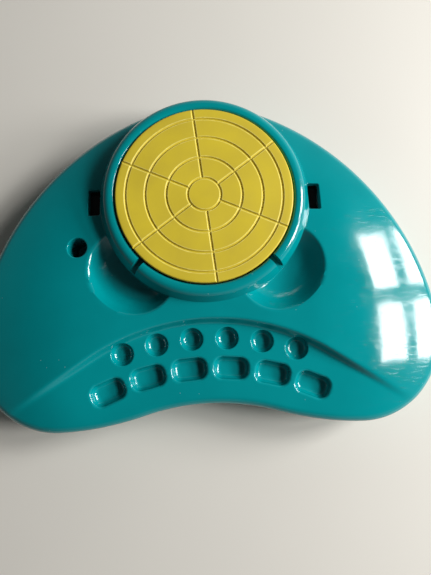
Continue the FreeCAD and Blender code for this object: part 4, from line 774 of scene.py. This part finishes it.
@dataclass
class WheelHead:
    """The yellow wheel head: a disc with ring and spoke grooves, drop rim, splash skirt and hub."""

    radius: float = 75.0
    top: float = 72.5
    edge_round: float = 1.2
    under: float = 67.5
    rim_bottom: float = 63.0
    rim_thick: float = 2.5
    skirt: tuple[float, float] = (11.5, 13.5)
    skirt_bottom: float = 60.0
    hub_radius: float = 9.0
    hub_bottom: float = 64.6
    bore_radius: float = 4.02
    bore_top: float = 70.0
    edge_rows: int = 7
    rings: tuple[float, ...] = (14.0, 32.0, 49.6, 66.2)
    spokes: int = 6
    spoke_turn: float = 36.2
    groove_width: float = 2.5
    groove_floor: float = 0.3
    groove_depth: float = 1.1
    # Width of the painted highlight on each groove brow.
    groove_run: float = 0.1
    brow_highlight_width: float = 0.25
    hub_run: float = 0.5
    pole_radius: float = 4.0
    plain_rows: int = 26
    plain_columns: int = 14
    line_offsets: tuple[float, ...] = (0.15, 0.3, 0.5, 0.7, 0.9, 1.1, 1.25, 1.4, 1.8)
    crease: float = 34.0

    def groove(self, distance: np.ndarray) -> np.ndarray:
        """Share of the groove's depth at a distance from its middle: 1 on its floor, eased to 0 at its edge."""
        return 1 - ease(np.abs(distance), self.groove_floor / 2, self.groove_width / 2 + self.groove_run)

    def lip(self, distance: np.ndarray) -> np.ndarray:
        """Share of the painted highlight: highest on the groove's two brows."""
        return np.exp(-((np.abs(distance) - self.groove_width / 2) / self.brow_highlight_width) ** 2)

    def lines(self) -> np.ndarray:
        """Distances from a groove's middle at which the mesh has lines."""
        half = np.array(self.line_offsets)
        return np.concatenate((-half[::-1], (0.0,), half))

    def build(self) -> bpy.types.Object:
        """Make the wheel head.

        Rows are circles, dense about the ring grooves. In each sixth, columns keep a fixed distance from the
        spoke's line while they are in its groove, and share out the rest of the angle evenly.

        Returns:
            The wheel head's object, with an attribute of painted highlight along the groove brows.
        """
        lines = self.lines()
        flat_edge = self.radius - self.edge_round
        plain = np.linspace(self.pole_radius, flat_edge, self.plain_rows)
        radii = np.unique(np.concatenate([plain] + [ring + lines for ring in self.rings]).round(3))
        rim = arc((flat_edge, self.top - self.edge_round), self.edge_round, 90, 0, self.edge_rows)[1:]
        section = np.array((
            (self.radius, self.rim_bottom),
            (self.radius - self.rim_thick, self.rim_bottom),
            (self.radius - self.rim_thick, self.under),
            (self.skirt[1], self.under),
            (self.skirt[1], self.skirt_bottom),
            (self.skirt[0], self.skirt_bottom),
            (self.skirt[0], self.under),
            (self.hub_radius, self.under),
            (self.hub_radius, self.hub_bottom),
            (self.bore_radius, self.hub_bottom),
            (self.bore_radius, self.bore_top),
        ))
        face = np.column_stack((radii, np.full(len(radii), self.top)))
        profile = np.concatenate((face, rim, section))
        reach = np.maximum(profile[:, :1], self.rings[0])
        sixth = 2 * math.pi / self.spokes
        in_groove = np.arcsin(lines[None, :] / reach)
        edge = in_groove[:, -1:]
        beside = edge + (sixth - 2 * edge) * np.linspace(0, 1, self.plain_columns)[None, 1:-1]
        sector = np.concatenate((in_groove, beside), axis=1)
        angle = (sector[:, None, :] + sixth * np.arange(self.spokes)[None, :, None]).reshape(len(profile), -1)
        angle = angle + math.radians(self.spoke_turn)
        off = np.concatenate((lines, np.full(beside.shape[1], self.radius)))
        off = np.tile(off, self.spokes)[None, :]
        outside_hub = ease(profile[:, :1], self.rings[0], self.rings[0] + self.hub_run)
        off_ring = np.min(np.abs(profile[:, :1] - np.array(self.rings)[None, :]), axis=1)[:, None]
        depth = np.maximum(self.groove(off) * outside_hub, self.groove(off_ring))
        # Painted highlight: a pale band along the brows of the spoke and ring grooves, stored as a point attribute.
        brow_highlight = np.maximum(self.lip(off) * outside_hub, self.lip(off_ring) * np.ones_like(off))
        height = np.minimum(profile[:, 1:], self.top - self.groove_depth * depth)
        points = np.stack((profile[:, :1] * np.cos(angle), profile[:, :1] * np.sin(angle), height), axis=-1)
        patch = grid(points, caps=True)
        patch.marks["groove_brow_highlight"] = (brow_highlight * (profile[:, 1:] >= self.top)).ravel().astype(np.float32)
        head = solid("wheel_head", patch)
        smooth(head, self.crease)
        return head

    @staticmethod
    def dress(item: bpy.types.Object, materials: Wardrobe) -> None:
        """Give the wheel head its plastic and let it stand for the turntable."""
        settle(item, Body.WHEEL, "turntable", materials[Slot.WHEEL])


class Effects:
    """Shader groups that several finishes share."""

    SCRATCH_TURNS = (0.35, 1.45, 2.5)
    SCRATCH_STRETCH = 26.0
    SCRATCH_CUT = (0.66, 0.74)

    def __init__(self) -> None:
        """Build each group once."""
        self.scratches = self.make_scratches()
        self.specks = self.make_specks()
        self.grain = self.make_grain()

    @staticmethod
    def start(name: str, inputs: dict[str, float],
              output: str) -> tuple[bpy.types.NodeTree, bpy.types.Node, bpy.types.Node]:
        """New group with a vector input, number inputs and one value output.

        Args:
            name: The group's name.
            inputs: Names and first values of its number inputs.
            output: Name of its output.

        Returns:
            The group, its input node and its output node.
        """
        group = bpy.data.node_groups.new(name, "ShaderNodeTree")
        group.interface.new_socket(name="Vector", in_out="INPUT", socket_type="NodeSocketVector")
        for label, number in inputs.items():
            socket = group.interface.new_socket(name=label, in_out="INPUT", socket_type="NodeSocketFloat")
            socket.default_value = number
        group.interface.new_socket(name=output, in_out="OUTPUT", socket_type="NodeSocketFloat")
        return group, group.nodes.new("NodeGroupInput"), group.nodes.new("NodeGroupOutput")

    def make_scratches(self) -> bpy.types.NodeTree:
        """Fine straight scratches: noise drawn out along three directions and cut to thin lines.

        Returns:
            The group, with a mask of the scratches.
        """
        group, given, result = self.start("fine_scratches", {"Scale": 60.0, "Cover": 0.5}, "Mask")
        last = None
        for turn in self.SCRATCH_TURNS:
            drawn = group.nodes.new("ShaderNodeMapping")
            drawn.inputs["Rotation"].default_value = (0.0, 0.0, turn)
            drawn.inputs["Scale"].default_value = (1.0, self.SCRATCH_STRETCH, 1.0)
            group.links.new(given.outputs["Vector"], drawn.inputs["Vector"])
            noise = group.nodes.new("ShaderNodeTexNoise")
            noise.inputs["Detail"].default_value = 2.0
            group.links.new(drawn.outputs[0], noise.inputs["Vector"])
            group.links.new(given.outputs["Scale"], noise.inputs["Scale"])
            thin = group.nodes.new("ShaderNodeMapRange")
            thin.inputs["From Min"].default_value, thin.inputs["From Max"].default_value = self.SCRATCH_CUT
            group.links.new(noise.outputs["Fac"], thin.inputs["Value"])
            last = self.paired(group, "MAXIMUM", thin.outputs[0], last)
        group.links.new(self.paired(group, "MULTIPLY", last, given.outputs["Cover"]), result.inputs["Mask"])
        return group

    def make_specks(self) -> bpy.types.NodeTree:
        """Sparse round specks of dust: the cores of some cells of a Voronoi pattern.

        Returns:
            The group, with a mask of the specks.
        """
        group, given, result = self.start("dust_specks", {"Scale": 240.0, "Size": 0.12, "Share": 0.08}, "Mask")
        cells = group.nodes.new("ShaderNodeTexVoronoi")
        group.links.new(given.outputs["Vector"], cells.inputs["Vector"])
        group.links.new(given.outputs["Scale"], cells.inputs["Scale"])
        near = self.paired(group, "LESS_THAN", cells.outputs["Distance"], given.outputs["Size"])
        parts = group.nodes.new("ShaderNodeSeparateColor")
        group.links.new(cells.outputs["Color"], parts.inputs["Color"])
        chosen = self.paired(group, "LESS_THAN", parts.outputs["Red"], given.outputs["Share"])
        group.links.new(self.paired(group, "MULTIPLY", near, chosen), result.inputs["Mask"])
        return group

    def make_grain(self) -> bpy.types.NodeTree:
        """Even moulded grain: fine noise.

        Returns:
            The group, with the grain's height.
        """
        group, given, result = self.start("moulded_grain", {"Scale": 1800.0}, "Height")
        noise = group.nodes.new("ShaderNodeTexNoise")
        noise.inputs["Detail"].default_value = 3.0
        group.links.new(given.outputs["Vector"], noise.inputs["Vector"])
        group.links.new(given.outputs["Scale"], noise.inputs["Scale"])
        group.links.new(noise.outputs["Fac"], result.inputs["Height"])
        return group

    @staticmethod
    def paired(group: bpy.types.NodeTree, operation: str, first: bpy.types.NodeSocket,
               second: bpy.types.NodeSocket | None) -> bpy.types.NodeSocket:
        """Two values joined by a maths step; the first alone where there is no second.

        Args:
            group: The group that the step goes into.
            operation: The step's name in the Math node.
            first: One value.
            second: The other value, if there is one.

        Returns:
            The step's result.
        """
        if second is None:
            return first
        node = group.nodes.new("ShaderNodeMath")
        node.operation = operation
        group.links.new(first, node.inputs[0])
        group.links.new(second, node.inputs[1])
        return node.outputs[0]


def linear(colour: Sequence[float]) -> tuple[float, float, float, float]:
    """Screen colour as a linear colour with full alpha.

    Args:
        colour: Red, green and blue from 0 to 255.

    Returns:
        Red, green, blue and alpha from 0 to 1.
    """
    share = np.array(colour) / 255
    light = np.where(share <= 0.04045, share / 12.92, ((share + 0.055) / 1.055) ** 2.4)
    return (*light.tolist(), 1.0)


class Recipe:
    """A material under construction: its tree, its shader and its Object coordinates."""

    def __init__(self, name: str) -> None:
        """Start a material with a plain Principled shader.

        Args:
            name: The material's name.
        """
        self.material = bpy.data.materials.new(name)
        self.material.use_nodes = True
        self.tree = self.material.node_tree
        self.shader = self.tree.nodes["Principled BSDF"]
        self.place = self.tree.nodes.new("ShaderNodeTexCoord").outputs["Object"]

    def set(self, **values: float) -> None:
        """Set constant values on the shader; an underscore in a name stands for a space."""
        for name, number in values.items():
            self.shader.inputs[name.replace("_", " ")].default_value = number

    def node(self, kind: str, **values: object) -> bpy.types.Node:
        """New node with its first values.

        Args:
            kind: The node's type.
            values: Properties, or inputs where the name starts with a capital letter.

        Returns:
            The node.
        """
        made = self.tree.nodes.new(kind)
        for name, content in values.items():
            if name[0].isupper():
                made.inputs[name.replace("_", " ")].default_value = content
            else:
                setattr(made, name, content)
        return made

    def link(self, source: bpy.types.NodeSocket, target: bpy.types.NodeSocket) -> None:
        """Join two sockets."""
        self.tree.links.new(source, target)

    def effect(self, group: bpy.types.NodeTree, **values: float) -> bpy.types.NodeSocket:
        """A shared effect on Object coordinates.

        Args:
            group: The effect's group.
            values: Its inputs' values in this material.

        Returns:
            The effect's output.
        """
        made = self.node("ShaderNodeGroup", node_tree=group)
        self.link(self.place, made.inputs["Vector"])
        for name, number in values.items():
            made.inputs[name].default_value = number
        return made.outputs[0]

    def noise(self, scale: float, detail: float = 3.0) -> bpy.types.NodeSocket:
        """Soft noise on Object coordinates.

        Args:
            scale: Waves per metre.
            detail: Layers of finer noise.

        Returns:
            Values about one half.
        """
        made = self.node("ShaderNodeTexNoise", Scale=scale, Detail=detail)
        self.link(self.place, made.inputs["Vector"])
        return made.outputs["Fac"]

    def spread(self, source: bpy.types.NodeSocket, low: float, high: float, start: float = 0.3,
               end: float = 0.7) -> bpy.types.NodeSocket:
        """Map a value from one span to another, held at the ends.

        Args:
            source: The value.
            low: Result at the span's start.
            high: Result at its end.
            start: The span's start.
            end: The span's end.

        Returns:
            The mapped value.
        """
        made = self.node("ShaderNodeMapRange", From_Min=start, From_Max=end, To_Min=low, To_Max=high)
        self.link(source, made.inputs["Value"])
        return made.outputs[0]

    def maths(self, operation: str, first: bpy.types.NodeSocket,
              second: bpy.types.NodeSocket | float) -> bpy.types.NodeSocket:
        """Two values joined by a maths step.

        Args:
            operation: The step's name in the Math node.
            first: One value.
            second: The other value, as a socket or a number.

        Returns:
            The step's result.
        """
        made = self.node("ShaderNodeMath", operation=operation)
        self.link(first, made.inputs[0])
        if isinstance(second, (int, float)):
            made.inputs[1].default_value = second
        else:
            self.link(second, made.inputs[1])
        return made.outputs[0]

    def mix(self, share: bpy.types.NodeSocket, first: bpy.types.NodeSocket | Sequence[float],
            second: bpy.types.NodeSocket | Sequence[float]) -> bpy.types.NodeSocket:
        """Two colours mixed by a share; a Mix node's colours are its inputs 6 and 7 and its output 2.

        Args:
            share: Share of the second colour.
            first: One colour, as a socket or a linear colour.
            second: The other colour, in the same way.

        Returns:
            The mixed colour.
        """
        made = self.node("ShaderNodeMix", data_type="RGBA")
        self.link(share, made.inputs[0])
        for socket, colour in ((made.inputs[6], first), (made.inputs[7], second)):
            if isinstance(colour, bpy.types.NodeSocket):
                self.link(colour, socket)
            else:
                socket.default_value = colour
        return made.outputs[2]

    def bump(self, height: bpy.types.NodeSocket, depth: float, strength: float = 1.0) -> None:
        """Bump on the shader's normal.

        Args:
            height: The height from 0 to 1.
            depth: What a height of 1 stands for, in metres.
            strength: Share of the bump that shows.
        """
        made = self.node("ShaderNodeBump", Distance=depth, Strength=strength)
        self.link(height, made.inputs["Height"])
        self.link(made.outputs[0], self.shader.inputs["Normal"])

    def colour(self, source: bpy.types.NodeSocket) -> None:
        """Feed the shader's colour."""
        self.link(source, self.shader.inputs["Base Color"])

    def roughness(self, source: bpy.types.NodeSocket) -> None:
        """Feed the shader's roughness."""
        self.link(source, self.shader.inputs["Roughness"])


@dataclass(frozen=True)
class GlossyMoulding:
    """High-gloss moulded plastic with ripples, rubbed patches, scratches, dust and painted shade on the slot floors."""

    shell: Shell
    colour: tuple[int, int, int] = (0, 128, 132)
    pale: tuple[int, int, int] = (0, 137, 141)
    tone_scale: float = 14.0
    dust: tuple[int, int, int] = (150, 190, 188)
    dust_share: float = 0.5
    gloss: tuple[float, float] = (0.08, 0.15)
    rubbed_scale: float = 26.0
    scratch_share: float = 0.22
    ripple_scale: float = 38.0
    ripple_depth: float = 0.0003
    ripple_strength: float = 0.35
    # Painted shade: a near-black colour on the slot floors and the lowest part of their walls, up to a rise over the
    # floor and a margin past the outline.
    slot_shade_colour: tuple[int, int, int] = (6, 12, 12)
    slot_shade_rise: float = 2.5
    slot_shade_margin: float = 0.25

    def make(self, effects: Effects) -> bpy.types.Material:
        """Build the material.

        Args:
            effects: The shared shader groups.

        Returns:
            The material.
        """
        recipe = Recipe("teal_gloss")
        recipe.set(Specular_IOR_Level=0.5)
        scratch = recipe.effect(effects.scratches, Scale=55.0, Cover=0.55)
        marks = recipe.maths("MULTIPLY", scratch, self.scratch_share)
        speck = recipe.effect(effects.specks, Scale=190.0, Size=0.075, Share=0.07)
        cloud = recipe.spread(recipe.noise(self.tone_scale), 0.0, 1.0)
        tone = recipe.mix(cloud, linear(self.colour), linear(self.pale))
        dusty = recipe.mix(recipe.maths("MULTIPLY", speck, self.dust_share), tone, linear(self.dust))
        # Painted shade: the slots' floors are coloured near black, as the deep slots lie in shade.
        recipe.colour(recipe.mix(self.slot_shade_mask(recipe), dusty, linear(self.slot_shade_colour)))
        patches = recipe.spread(recipe.noise(self.rubbed_scale, detail=4.0), *self.gloss, start=0.42, end=0.75)
        recipe.roughness(recipe.maths("ADD", patches, marks))
        ripple = recipe.noise(self.ripple_scale, detail=2.0)
        recipe.bump(recipe.maths("SUBTRACT", ripple, marks), self.ripple_depth, self.ripple_strength)
        return recipe.material

    def slot_shade_mask(self, recipe: Recipe) -> bpy.types.NodeSocket:
        """Mask of the painted shade on the accessory slots' floors: within either slot's outline and below a level over
        its floor.

        Object coordinates are those of the shared frame, so the slots' places are moved into it.

        Args:
            recipe: The material under construction.

        Returns:
            1 where shade is painted on the slots' floors and 0 elsewhere.
        """
        parts = recipe.node("ShaderNodeSeparateXYZ")
        recipe.link(recipe.place, parts.inputs[0])
        across = recipe.maths("ABSOLUTE", parts.outputs["X"], 0.0)
        middle = np.array((self.shell.slot_out, self.shell.slot_back)) * MM + wheel_shift()[:2]
        half = (np.array(self.shell.slot_size) / 2 + self.slot_shade_margin) * MM
        inside = recipe.maths("LESS_THAN", parts.outputs["Z"], (self.shell.slot_floor + self.slot_shade_rise) * MM)
        for place, centre, reach in zip((across, parts.outputs["Y"]), middle.tolist(), half.tolist()):
            away = recipe.maths("ABSOLUTE", recipe.maths("SUBTRACT", place, centre), 0.0)
            inside = recipe.maths("MULTIPLY", inside, recipe.maths("LESS_THAN", away, reach))
        return inside


@dataclass(frozen=True)
class WheelPlastic:
    """Satin yellow plastic: a painted highlight on the groove edges, a dull film between them and a fine grain."""

    colour: tuple[int, int, int] = (208, 186, 52)
    film: tuple[int, int, int] = (194, 172, 50)
    film_scale: float = 30.0
    # Painted highlight: a pale colour on the groove brows, broken into patches by noise.
    edge: tuple[int, int, int] = (246, 234, 140)
    highlight_patch_scale: float = 220.0
    highlight_patch_share: tuple[float, float] = (0.25, 0.8)
    roughness: tuple[float, float] = (0.34, 0.46)
    roughness_scale: float = 60.0
    scratch_share: float = 0.15
    grain_depth: float = 0.00004

    def make(self, effects: Effects) -> bpy.types.Material:
        """Build the material.

        Args:
            effects: The shared shader groups.

        Returns:
            The material.
        """
        recipe = Recipe("wheel_yellow")
        recipe.set(Specular_IOR_Level=0.4)
        cloud = recipe.spread(recipe.noise(self.film_scale, detail=5.0), 0.0, 1.0)
        tone = recipe.mix(cloud, linear(self.colour), linear(self.film))
        # Painted highlight on the groove brows, read from the wheel head's attribute.
        brow_highlight = recipe.node("ShaderNodeAttribute", attribute_name="groove_brow_highlight").outputs["Fac"]
        patchy_highlight = recipe.maths("MULTIPLY", brow_highlight, recipe.spread(recipe.noise(self.highlight_patch_scale), *self.highlight_patch_share))
        recipe.colour(recipe.mix(patchy_highlight, tone, linear(self.edge)))
        scratch = recipe.effect(effects.scratches, Scale=80.0, Cover=0.35)
        dull = recipe.spread(recipe.noise(self.roughness_scale, detail=4.0), *self.roughness)
        recipe.roughness(recipe.maths("ADD", dull, recipe.maths("MULTIPLY", scratch, self.scratch_share)))
        recipe.bump(recipe.effect(effects.grain, Scale=1500.0), self.grain_depth, strength=0.5)
        return recipe.material


@dataclass(frozen=True)
class PlainPlastic:
    """Satin or matt moulding with a fine grain and faint mottling."""

    name: str
    colour: tuple[int, int, int]
    shade: tuple[int, int, int]
    roughness: float
    grain: float = 0.00005
    mottle_scale: float = 70.0
    rubbed_scale: float = 45.0
    rubbed: float = 0.05
    scratch_share: float = 0.15

    def make(self, effects: Effects) -> bpy.types.Material:
        """Build the material.

        Args:
            effects: The shared shader groups.

        Returns:
            The material.
        """
        recipe = Recipe(self.name)
        mottle = recipe.spread(recipe.noise(self.mottle_scale), 0.0, 1.0)
        recipe.colour(recipe.mix(mottle, linear(self.colour), linear(self.shade)))
        scratch = recipe.effect(effects.scratches, Scale=70.0, Cover=0.3)
        patches = recipe.spread(recipe.noise(self.rubbed_scale), self.roughness - self.rubbed,
                                self.roughness + self.rubbed)
        recipe.roughness(recipe.maths("SUBTRACT", patches, recipe.maths("MULTIPLY", scratch, self.scratch_share)))
        recipe.bump(recipe.effect(effects.grain), self.grain, strength=0.6)
        return recipe.material


@dataclass(frozen=True)
class PlainMetal:
    """Bright metal with drawn lines and a faint tarnish."""

    name: str
    colour: tuple[int, int, int]
    tarnish: tuple[int, int, int]
    roughness: float
    tarnish_scale: float = 120.0
    rubbed_scale: float = 90.0
    rubbed: float = 0.05
    drawn_share: float = 0.12
    drawn_depth: float = 0.00002

    def make(self, effects: Effects) -> bpy.types.Material:
        """Build the material.

        Args:
            effects: The shared shader groups.

        Returns:
            The material.
        """
        recipe = Recipe(self.name)
        recipe.set(Metallic=1.0)
        cloud = recipe.spread(recipe.noise(self.tarnish_scale), 0.0, 1.0)
        recipe.colour(recipe.mix(cloud, linear(self.colour), linear(self.tarnish)))
        drawn = recipe.effect(effects.scratches, Scale=220.0, Cover=1.0)
        patches = recipe.spread(recipe.noise(self.rubbed_scale), self.roughness - self.rubbed,
                                self.roughness + self.rubbed)
        recipe.roughness(recipe.maths("ADD", patches, recipe.maths("MULTIPLY", drawn, self.drawn_share)))
        recipe.bump(drawn, self.drawn_depth, strength=0.4)
        return recipe.material


@dataclass(frozen=True)
class CellSleeve:
    """Dark sleeve of a dry cell with bare metal at both ends of the row and in its middle."""

    sleeve: tuple[int, int, int] = (52, 56, 62)
    metal: tuple[int, int, int] = (196, 196, 192)
    length: float = 50.0
    bare: float = 3.0
    roughness: tuple[float, float] = (0.25, 0.38)
    roughness_scale: float = 80.0
    grain_depth: float = 0.00002

    def make(self, effects: Effects) -> bpy.types.Material:
        """Build the material: a mask on the distance along the row marks the bare ends.

        Args:
            effects: The shared shader groups.

        Returns:
            The material.
        """
        recipe = Recipe("cell_jacket")
        parts = recipe.node("ShaderNodeSeparateXYZ")
        recipe.link(recipe.place, parts.inputs[0])
        along = recipe.maths("PINGPONG", recipe.maths("ABSOLUTE", parts.outputs["X"], 0.0), self.length * MM / 2)
        bare = recipe.maths("LESS_THAN", along, self.bare * MM)
        recipe.colour(recipe.mix(bare, linear(self.sleeve), linear(self.metal)))
        recipe.link(bare, recipe.shader.inputs["Metallic"])
        recipe.roughness(recipe.spread(recipe.noise(self.roughness_scale), *self.roughness))
        recipe.bump(recipe.effect(effects.grain), self.grain_depth, strength=0.4)
        return recipe.material


def finishes(effects: Effects, shell: Shell) -> Wardrobe:
    """Every finish, made once.

    Args:
        effects: The shared shader groups.
        shell: The moulding whose slot floors get painted shade.

    Returns:
        The materials by slot.
    """
    makers = {
        Slot.SHELL: GlossyMoulding(shell),
        Slot.WHEEL: WheelPlastic(),
        Slot.COVER: PlainPlastic("base_teal", (0, 118, 121), (0, 114, 117), 0.42),
        Slot.IVORY: PlainPlastic("ivory_plastic", (230, 225, 208), (220, 213, 192), 0.4),
        Slot.BLACK: PlainPlastic("black_plastic", (38, 38, 40), (30, 30, 32), 0.45),
        Slot.STEEL: PlainMetal("steel", (196, 198, 202), (170, 172, 176), 0.28),
        Slot.BRASS: PlainMetal("brass", (205, 178, 104), (176, 146, 82), 0.3),
        Slot.CELL: CellSleeve(),
        Slot.RED_LEAD: PlainPlastic("lead_red", (168, 36, 30), (150, 30, 26), 0.4),
        Slot.BLACK_LEAD: PlainPlastic("lead_black", (34, 34, 35), (26, 26, 27), 0.4),
        Slot.RUBBER: PlainPlastic("rubber", (44, 44, 45), (36, 36, 37), 0.75, 0.00012),
    }
    return {slot: maker.make(effects) for slot, maker in makers.items()}


@dataclass(frozen=True)
class PhotoCamera:
    """Camera fitted to the wheel's circle and the base's symmetry, about the wheel face's middle."""

    focal_pixels: float = 432.0
    picture_height: float = 575.0
    sensor: float = 36.0
    lean: float = -0.88
    tilt: float = -6.22
    turn: float = 2.0
    offset: tuple[float, float, float] = (-9.3, -78.4, 361.8)

    def build(self, wheel_top: float) -> bpy.types.Object:
        """Place the camera.

        Args:
            wheel_top: Height of the wheel's face, in millimetres.

        Returns:
            The camera's object.
        """
        look = Matrix.Rotation(math.radians(self.lean), 3, "Y") @ Matrix.Rotation(math.radians(self.tilt), 3, "X")
        look = look @ Matrix.Diagonal((1, -1, -1)) @ Matrix.Rotation(math.radians(self.turn), 3, "Z")
        place = -(look.transposed() @ Vector(self.offset)) * MM
        place += Vector(wheel_shift()) + Vector((0, 0, wheel_top * MM))
        axes = Matrix((look[0], -look[1], -look[2])).transposed()
        data = bpy.data.cameras.new("photo_camera")
        data.sensor_fit = "VERTICAL"
        data.sensor_height = self.sensor
        data.lens = self.focal_pixels / self.picture_height * self.sensor
        camera = bpy.data.objects.new("photo_camera", data)
        camera.matrix_world = Matrix.Translation(place) @ axes.to_4x4()
        bpy.context.scene.collection.objects.link(camera)
        bpy.context.scene.camera = camera
        return camera


@dataclass(frozen=True)
class Studio:
    """Pale floor, a surround that is bright low on the window's side, and a paned window of light to the right."""

    floor_colour: tuple[int, int, int] = (216, 212, 203)
    floor_mottle: int = 4
    floor_mottle_scale: float = 3.0
    floor_half: float = 4.0
    surround: tuple[float, float] = (0.42, 0.05)
    surround_rise: tuple[float, float] = (0.25, 0.75)
    far_side: tuple[float, float] = (0.35, 1.0)
    far_span: tuple[float, float] = (-0.7, 0.5)
    window_target: tuple[float, float, float] = (0.15, 0.0, 0.05)
    window_direction: tuple[float, float, float] = (0.81, 0.09, 0.58)
    window_distance: float = 1.6
    pane: tuple[float, float] = (0.43, 0.30)
    bar: float = 0.12
    columns: int = 2
    rows: int = 2
    pane_power: float = 13.4

    def floor(self) -> bpy.types.Object:
        """Lay the floor as a stage piece.

        Returns:
            The floor's object.
        """
        side = self.floor_half
        mesh = bpy.data.meshes.new("floor")
        mesh.from_pydata([(-side, -side, 0), (side, -side, 0), (side, side, 0), (-side, side, 0)], [], [(0, 1, 2, 3)])
        item = bpy.data.objects.new("floor", mesh)
        bpy.context.scene.collection.objects.link(item)
        recipe = Recipe("floor_paper")
        shade = tuple(channel - self.floor_mottle for channel in self.floor_colour)
        cloud = recipe.spread(recipe.noise(self.floor_mottle_scale), 0.0, 1.0)
        recipe.colour(recipe.mix(cloud, linear(self.floor_colour), linear(shade)))
        recipe.set(Roughness=0.6, Specular_IOR_Level=0.25)
        mesh.materials.append(recipe.material)
        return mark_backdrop(item)

    def light(self) -> None:
        """Hang the window's panes and set the surround."""
        world = bpy.data.worlds.new("surround")
        bpy.context.scene.world = world
        world.use_nodes = True
        tree = world.node_tree
        parts = tree.nodes.new("ShaderNodeSeparateXYZ")
        tree.links.new(tree.nodes.new("ShaderNodeTexCoord").outputs["Generated"], parts.inputs[0])
        product = tree.nodes.new("ShaderNodeMath")
        product.operation = "MULTIPLY"
        spans = (("Z", self.surround_rise, self.surround), ("X", self.far_span, self.far_side))
        for factor, (axis, span, levels) in zip(product.inputs, spans):
            fade = tree.nodes.new("ShaderNodeMapRange")
            fade.interpolation_type = "SMOOTHSTEP"
            for name, level in zip(("From Min", "From Max", "To Min", "To Max"), (*span, *levels)):
                fade.inputs[name].default_value = level
            tree.links.new(parts.outputs[axis], fade.inputs["Value"])
            tree.links.new(fade.outputs[0], factor)
        backdrop = tree.nodes["Background"]
        backdrop.inputs["Color"].default_value = (1.0, 1.0, 1.0, 1.0)
        tree.links.new(product.outputs[0], backdrop.inputs["Strength"])
        aim = Vector(self.window_direction).normalized()
        centre = Vector(self.window_target) + aim * self.window_distance
        turn = aim.to_track_quat("Z", "Y").to_matrix()
        for column in range(self.columns):
            for row in range(self.rows):
                across = (column - (self.columns - 1) / 2) * (self.pane[0] + self.bar)
                up = (row - (self.rows - 1) / 2) * (self.pane[1] + self.bar)
                self.panel(f"pane_{column}_{row}", centre + turn @ Vector((across, up, 0)), turn, self.pane,
                           self.pane_power)

    @staticmethod
    def panel(name: str, place: Vector, turn: Matrix, size: tuple[float, float], power: float) -> None:
        """Hang one flat light.

        Args:
            name: The light's name.
            place: Its middle.
            turn: Its turn; it shines along its own -Z.
            size: Width and height.
            power: Power in watts.
        """
        data = bpy.data.lights.new(name, "AREA")
        data.shape = "RECTANGLE"
        data.size, data.size_y = size
        data.energy = power
        item = bpy.data.objects.new(name, data)
        item.matrix_world = Matrix.Translation(place) @ turn.to_4x4()
        bpy.context.scene.collection.objects.link(item)


def settle(item: bpy.types.Object, body: Body, node: str, material: bpy.types.Material) -> None:
    """Dress a new piece, let it ride on a body and stand for a node.

    Args:
        item: The new piece.
        body: The body it moves with.
        node: The node it replaces.
        material: The finish.
    """
    item.data.materials.clear()
    item.data.materials.append(material)
    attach(item, body.value)
    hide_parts(node)
    LOG.info("%s stands for %s: %d faces", item.name, node, len(item.data.polygons))


def dress_nodes(materials: Wardrobe) -> None:
    """Give every carried piece the finish of its slot.

    Args:
        materials: The finishes.
    """
    slots = {part["node"]: Slot(part["material_slot"]) for part in frame["record"]["subparts"]}
    for name, item in frame["nodes"].items():
        item.data.materials.clear()
        item.data.materials.append(materials[slots[name]])
        LOG.info("%s wears %s", name, slots[name].value)


def main() -> None:
    """Build the studio, the pieces and their finishes."""
    logging.basicConfig(level=logging.INFO, format="%(message)s")
    bpy.context.scene.view_settings.view_transform = "Standard"
    shell, head = Shell(), WheelHead()
    materials = finishes(Effects(), shell)
    dress_nodes(materials)
    for piece in (shell, head):
        piece.dress(piece.build(), materials)
    studio = Studio()
    studio.floor()
    studio.light()
    PhotoCamera().build(head.top)


if __name__ == "__main__":
    main()
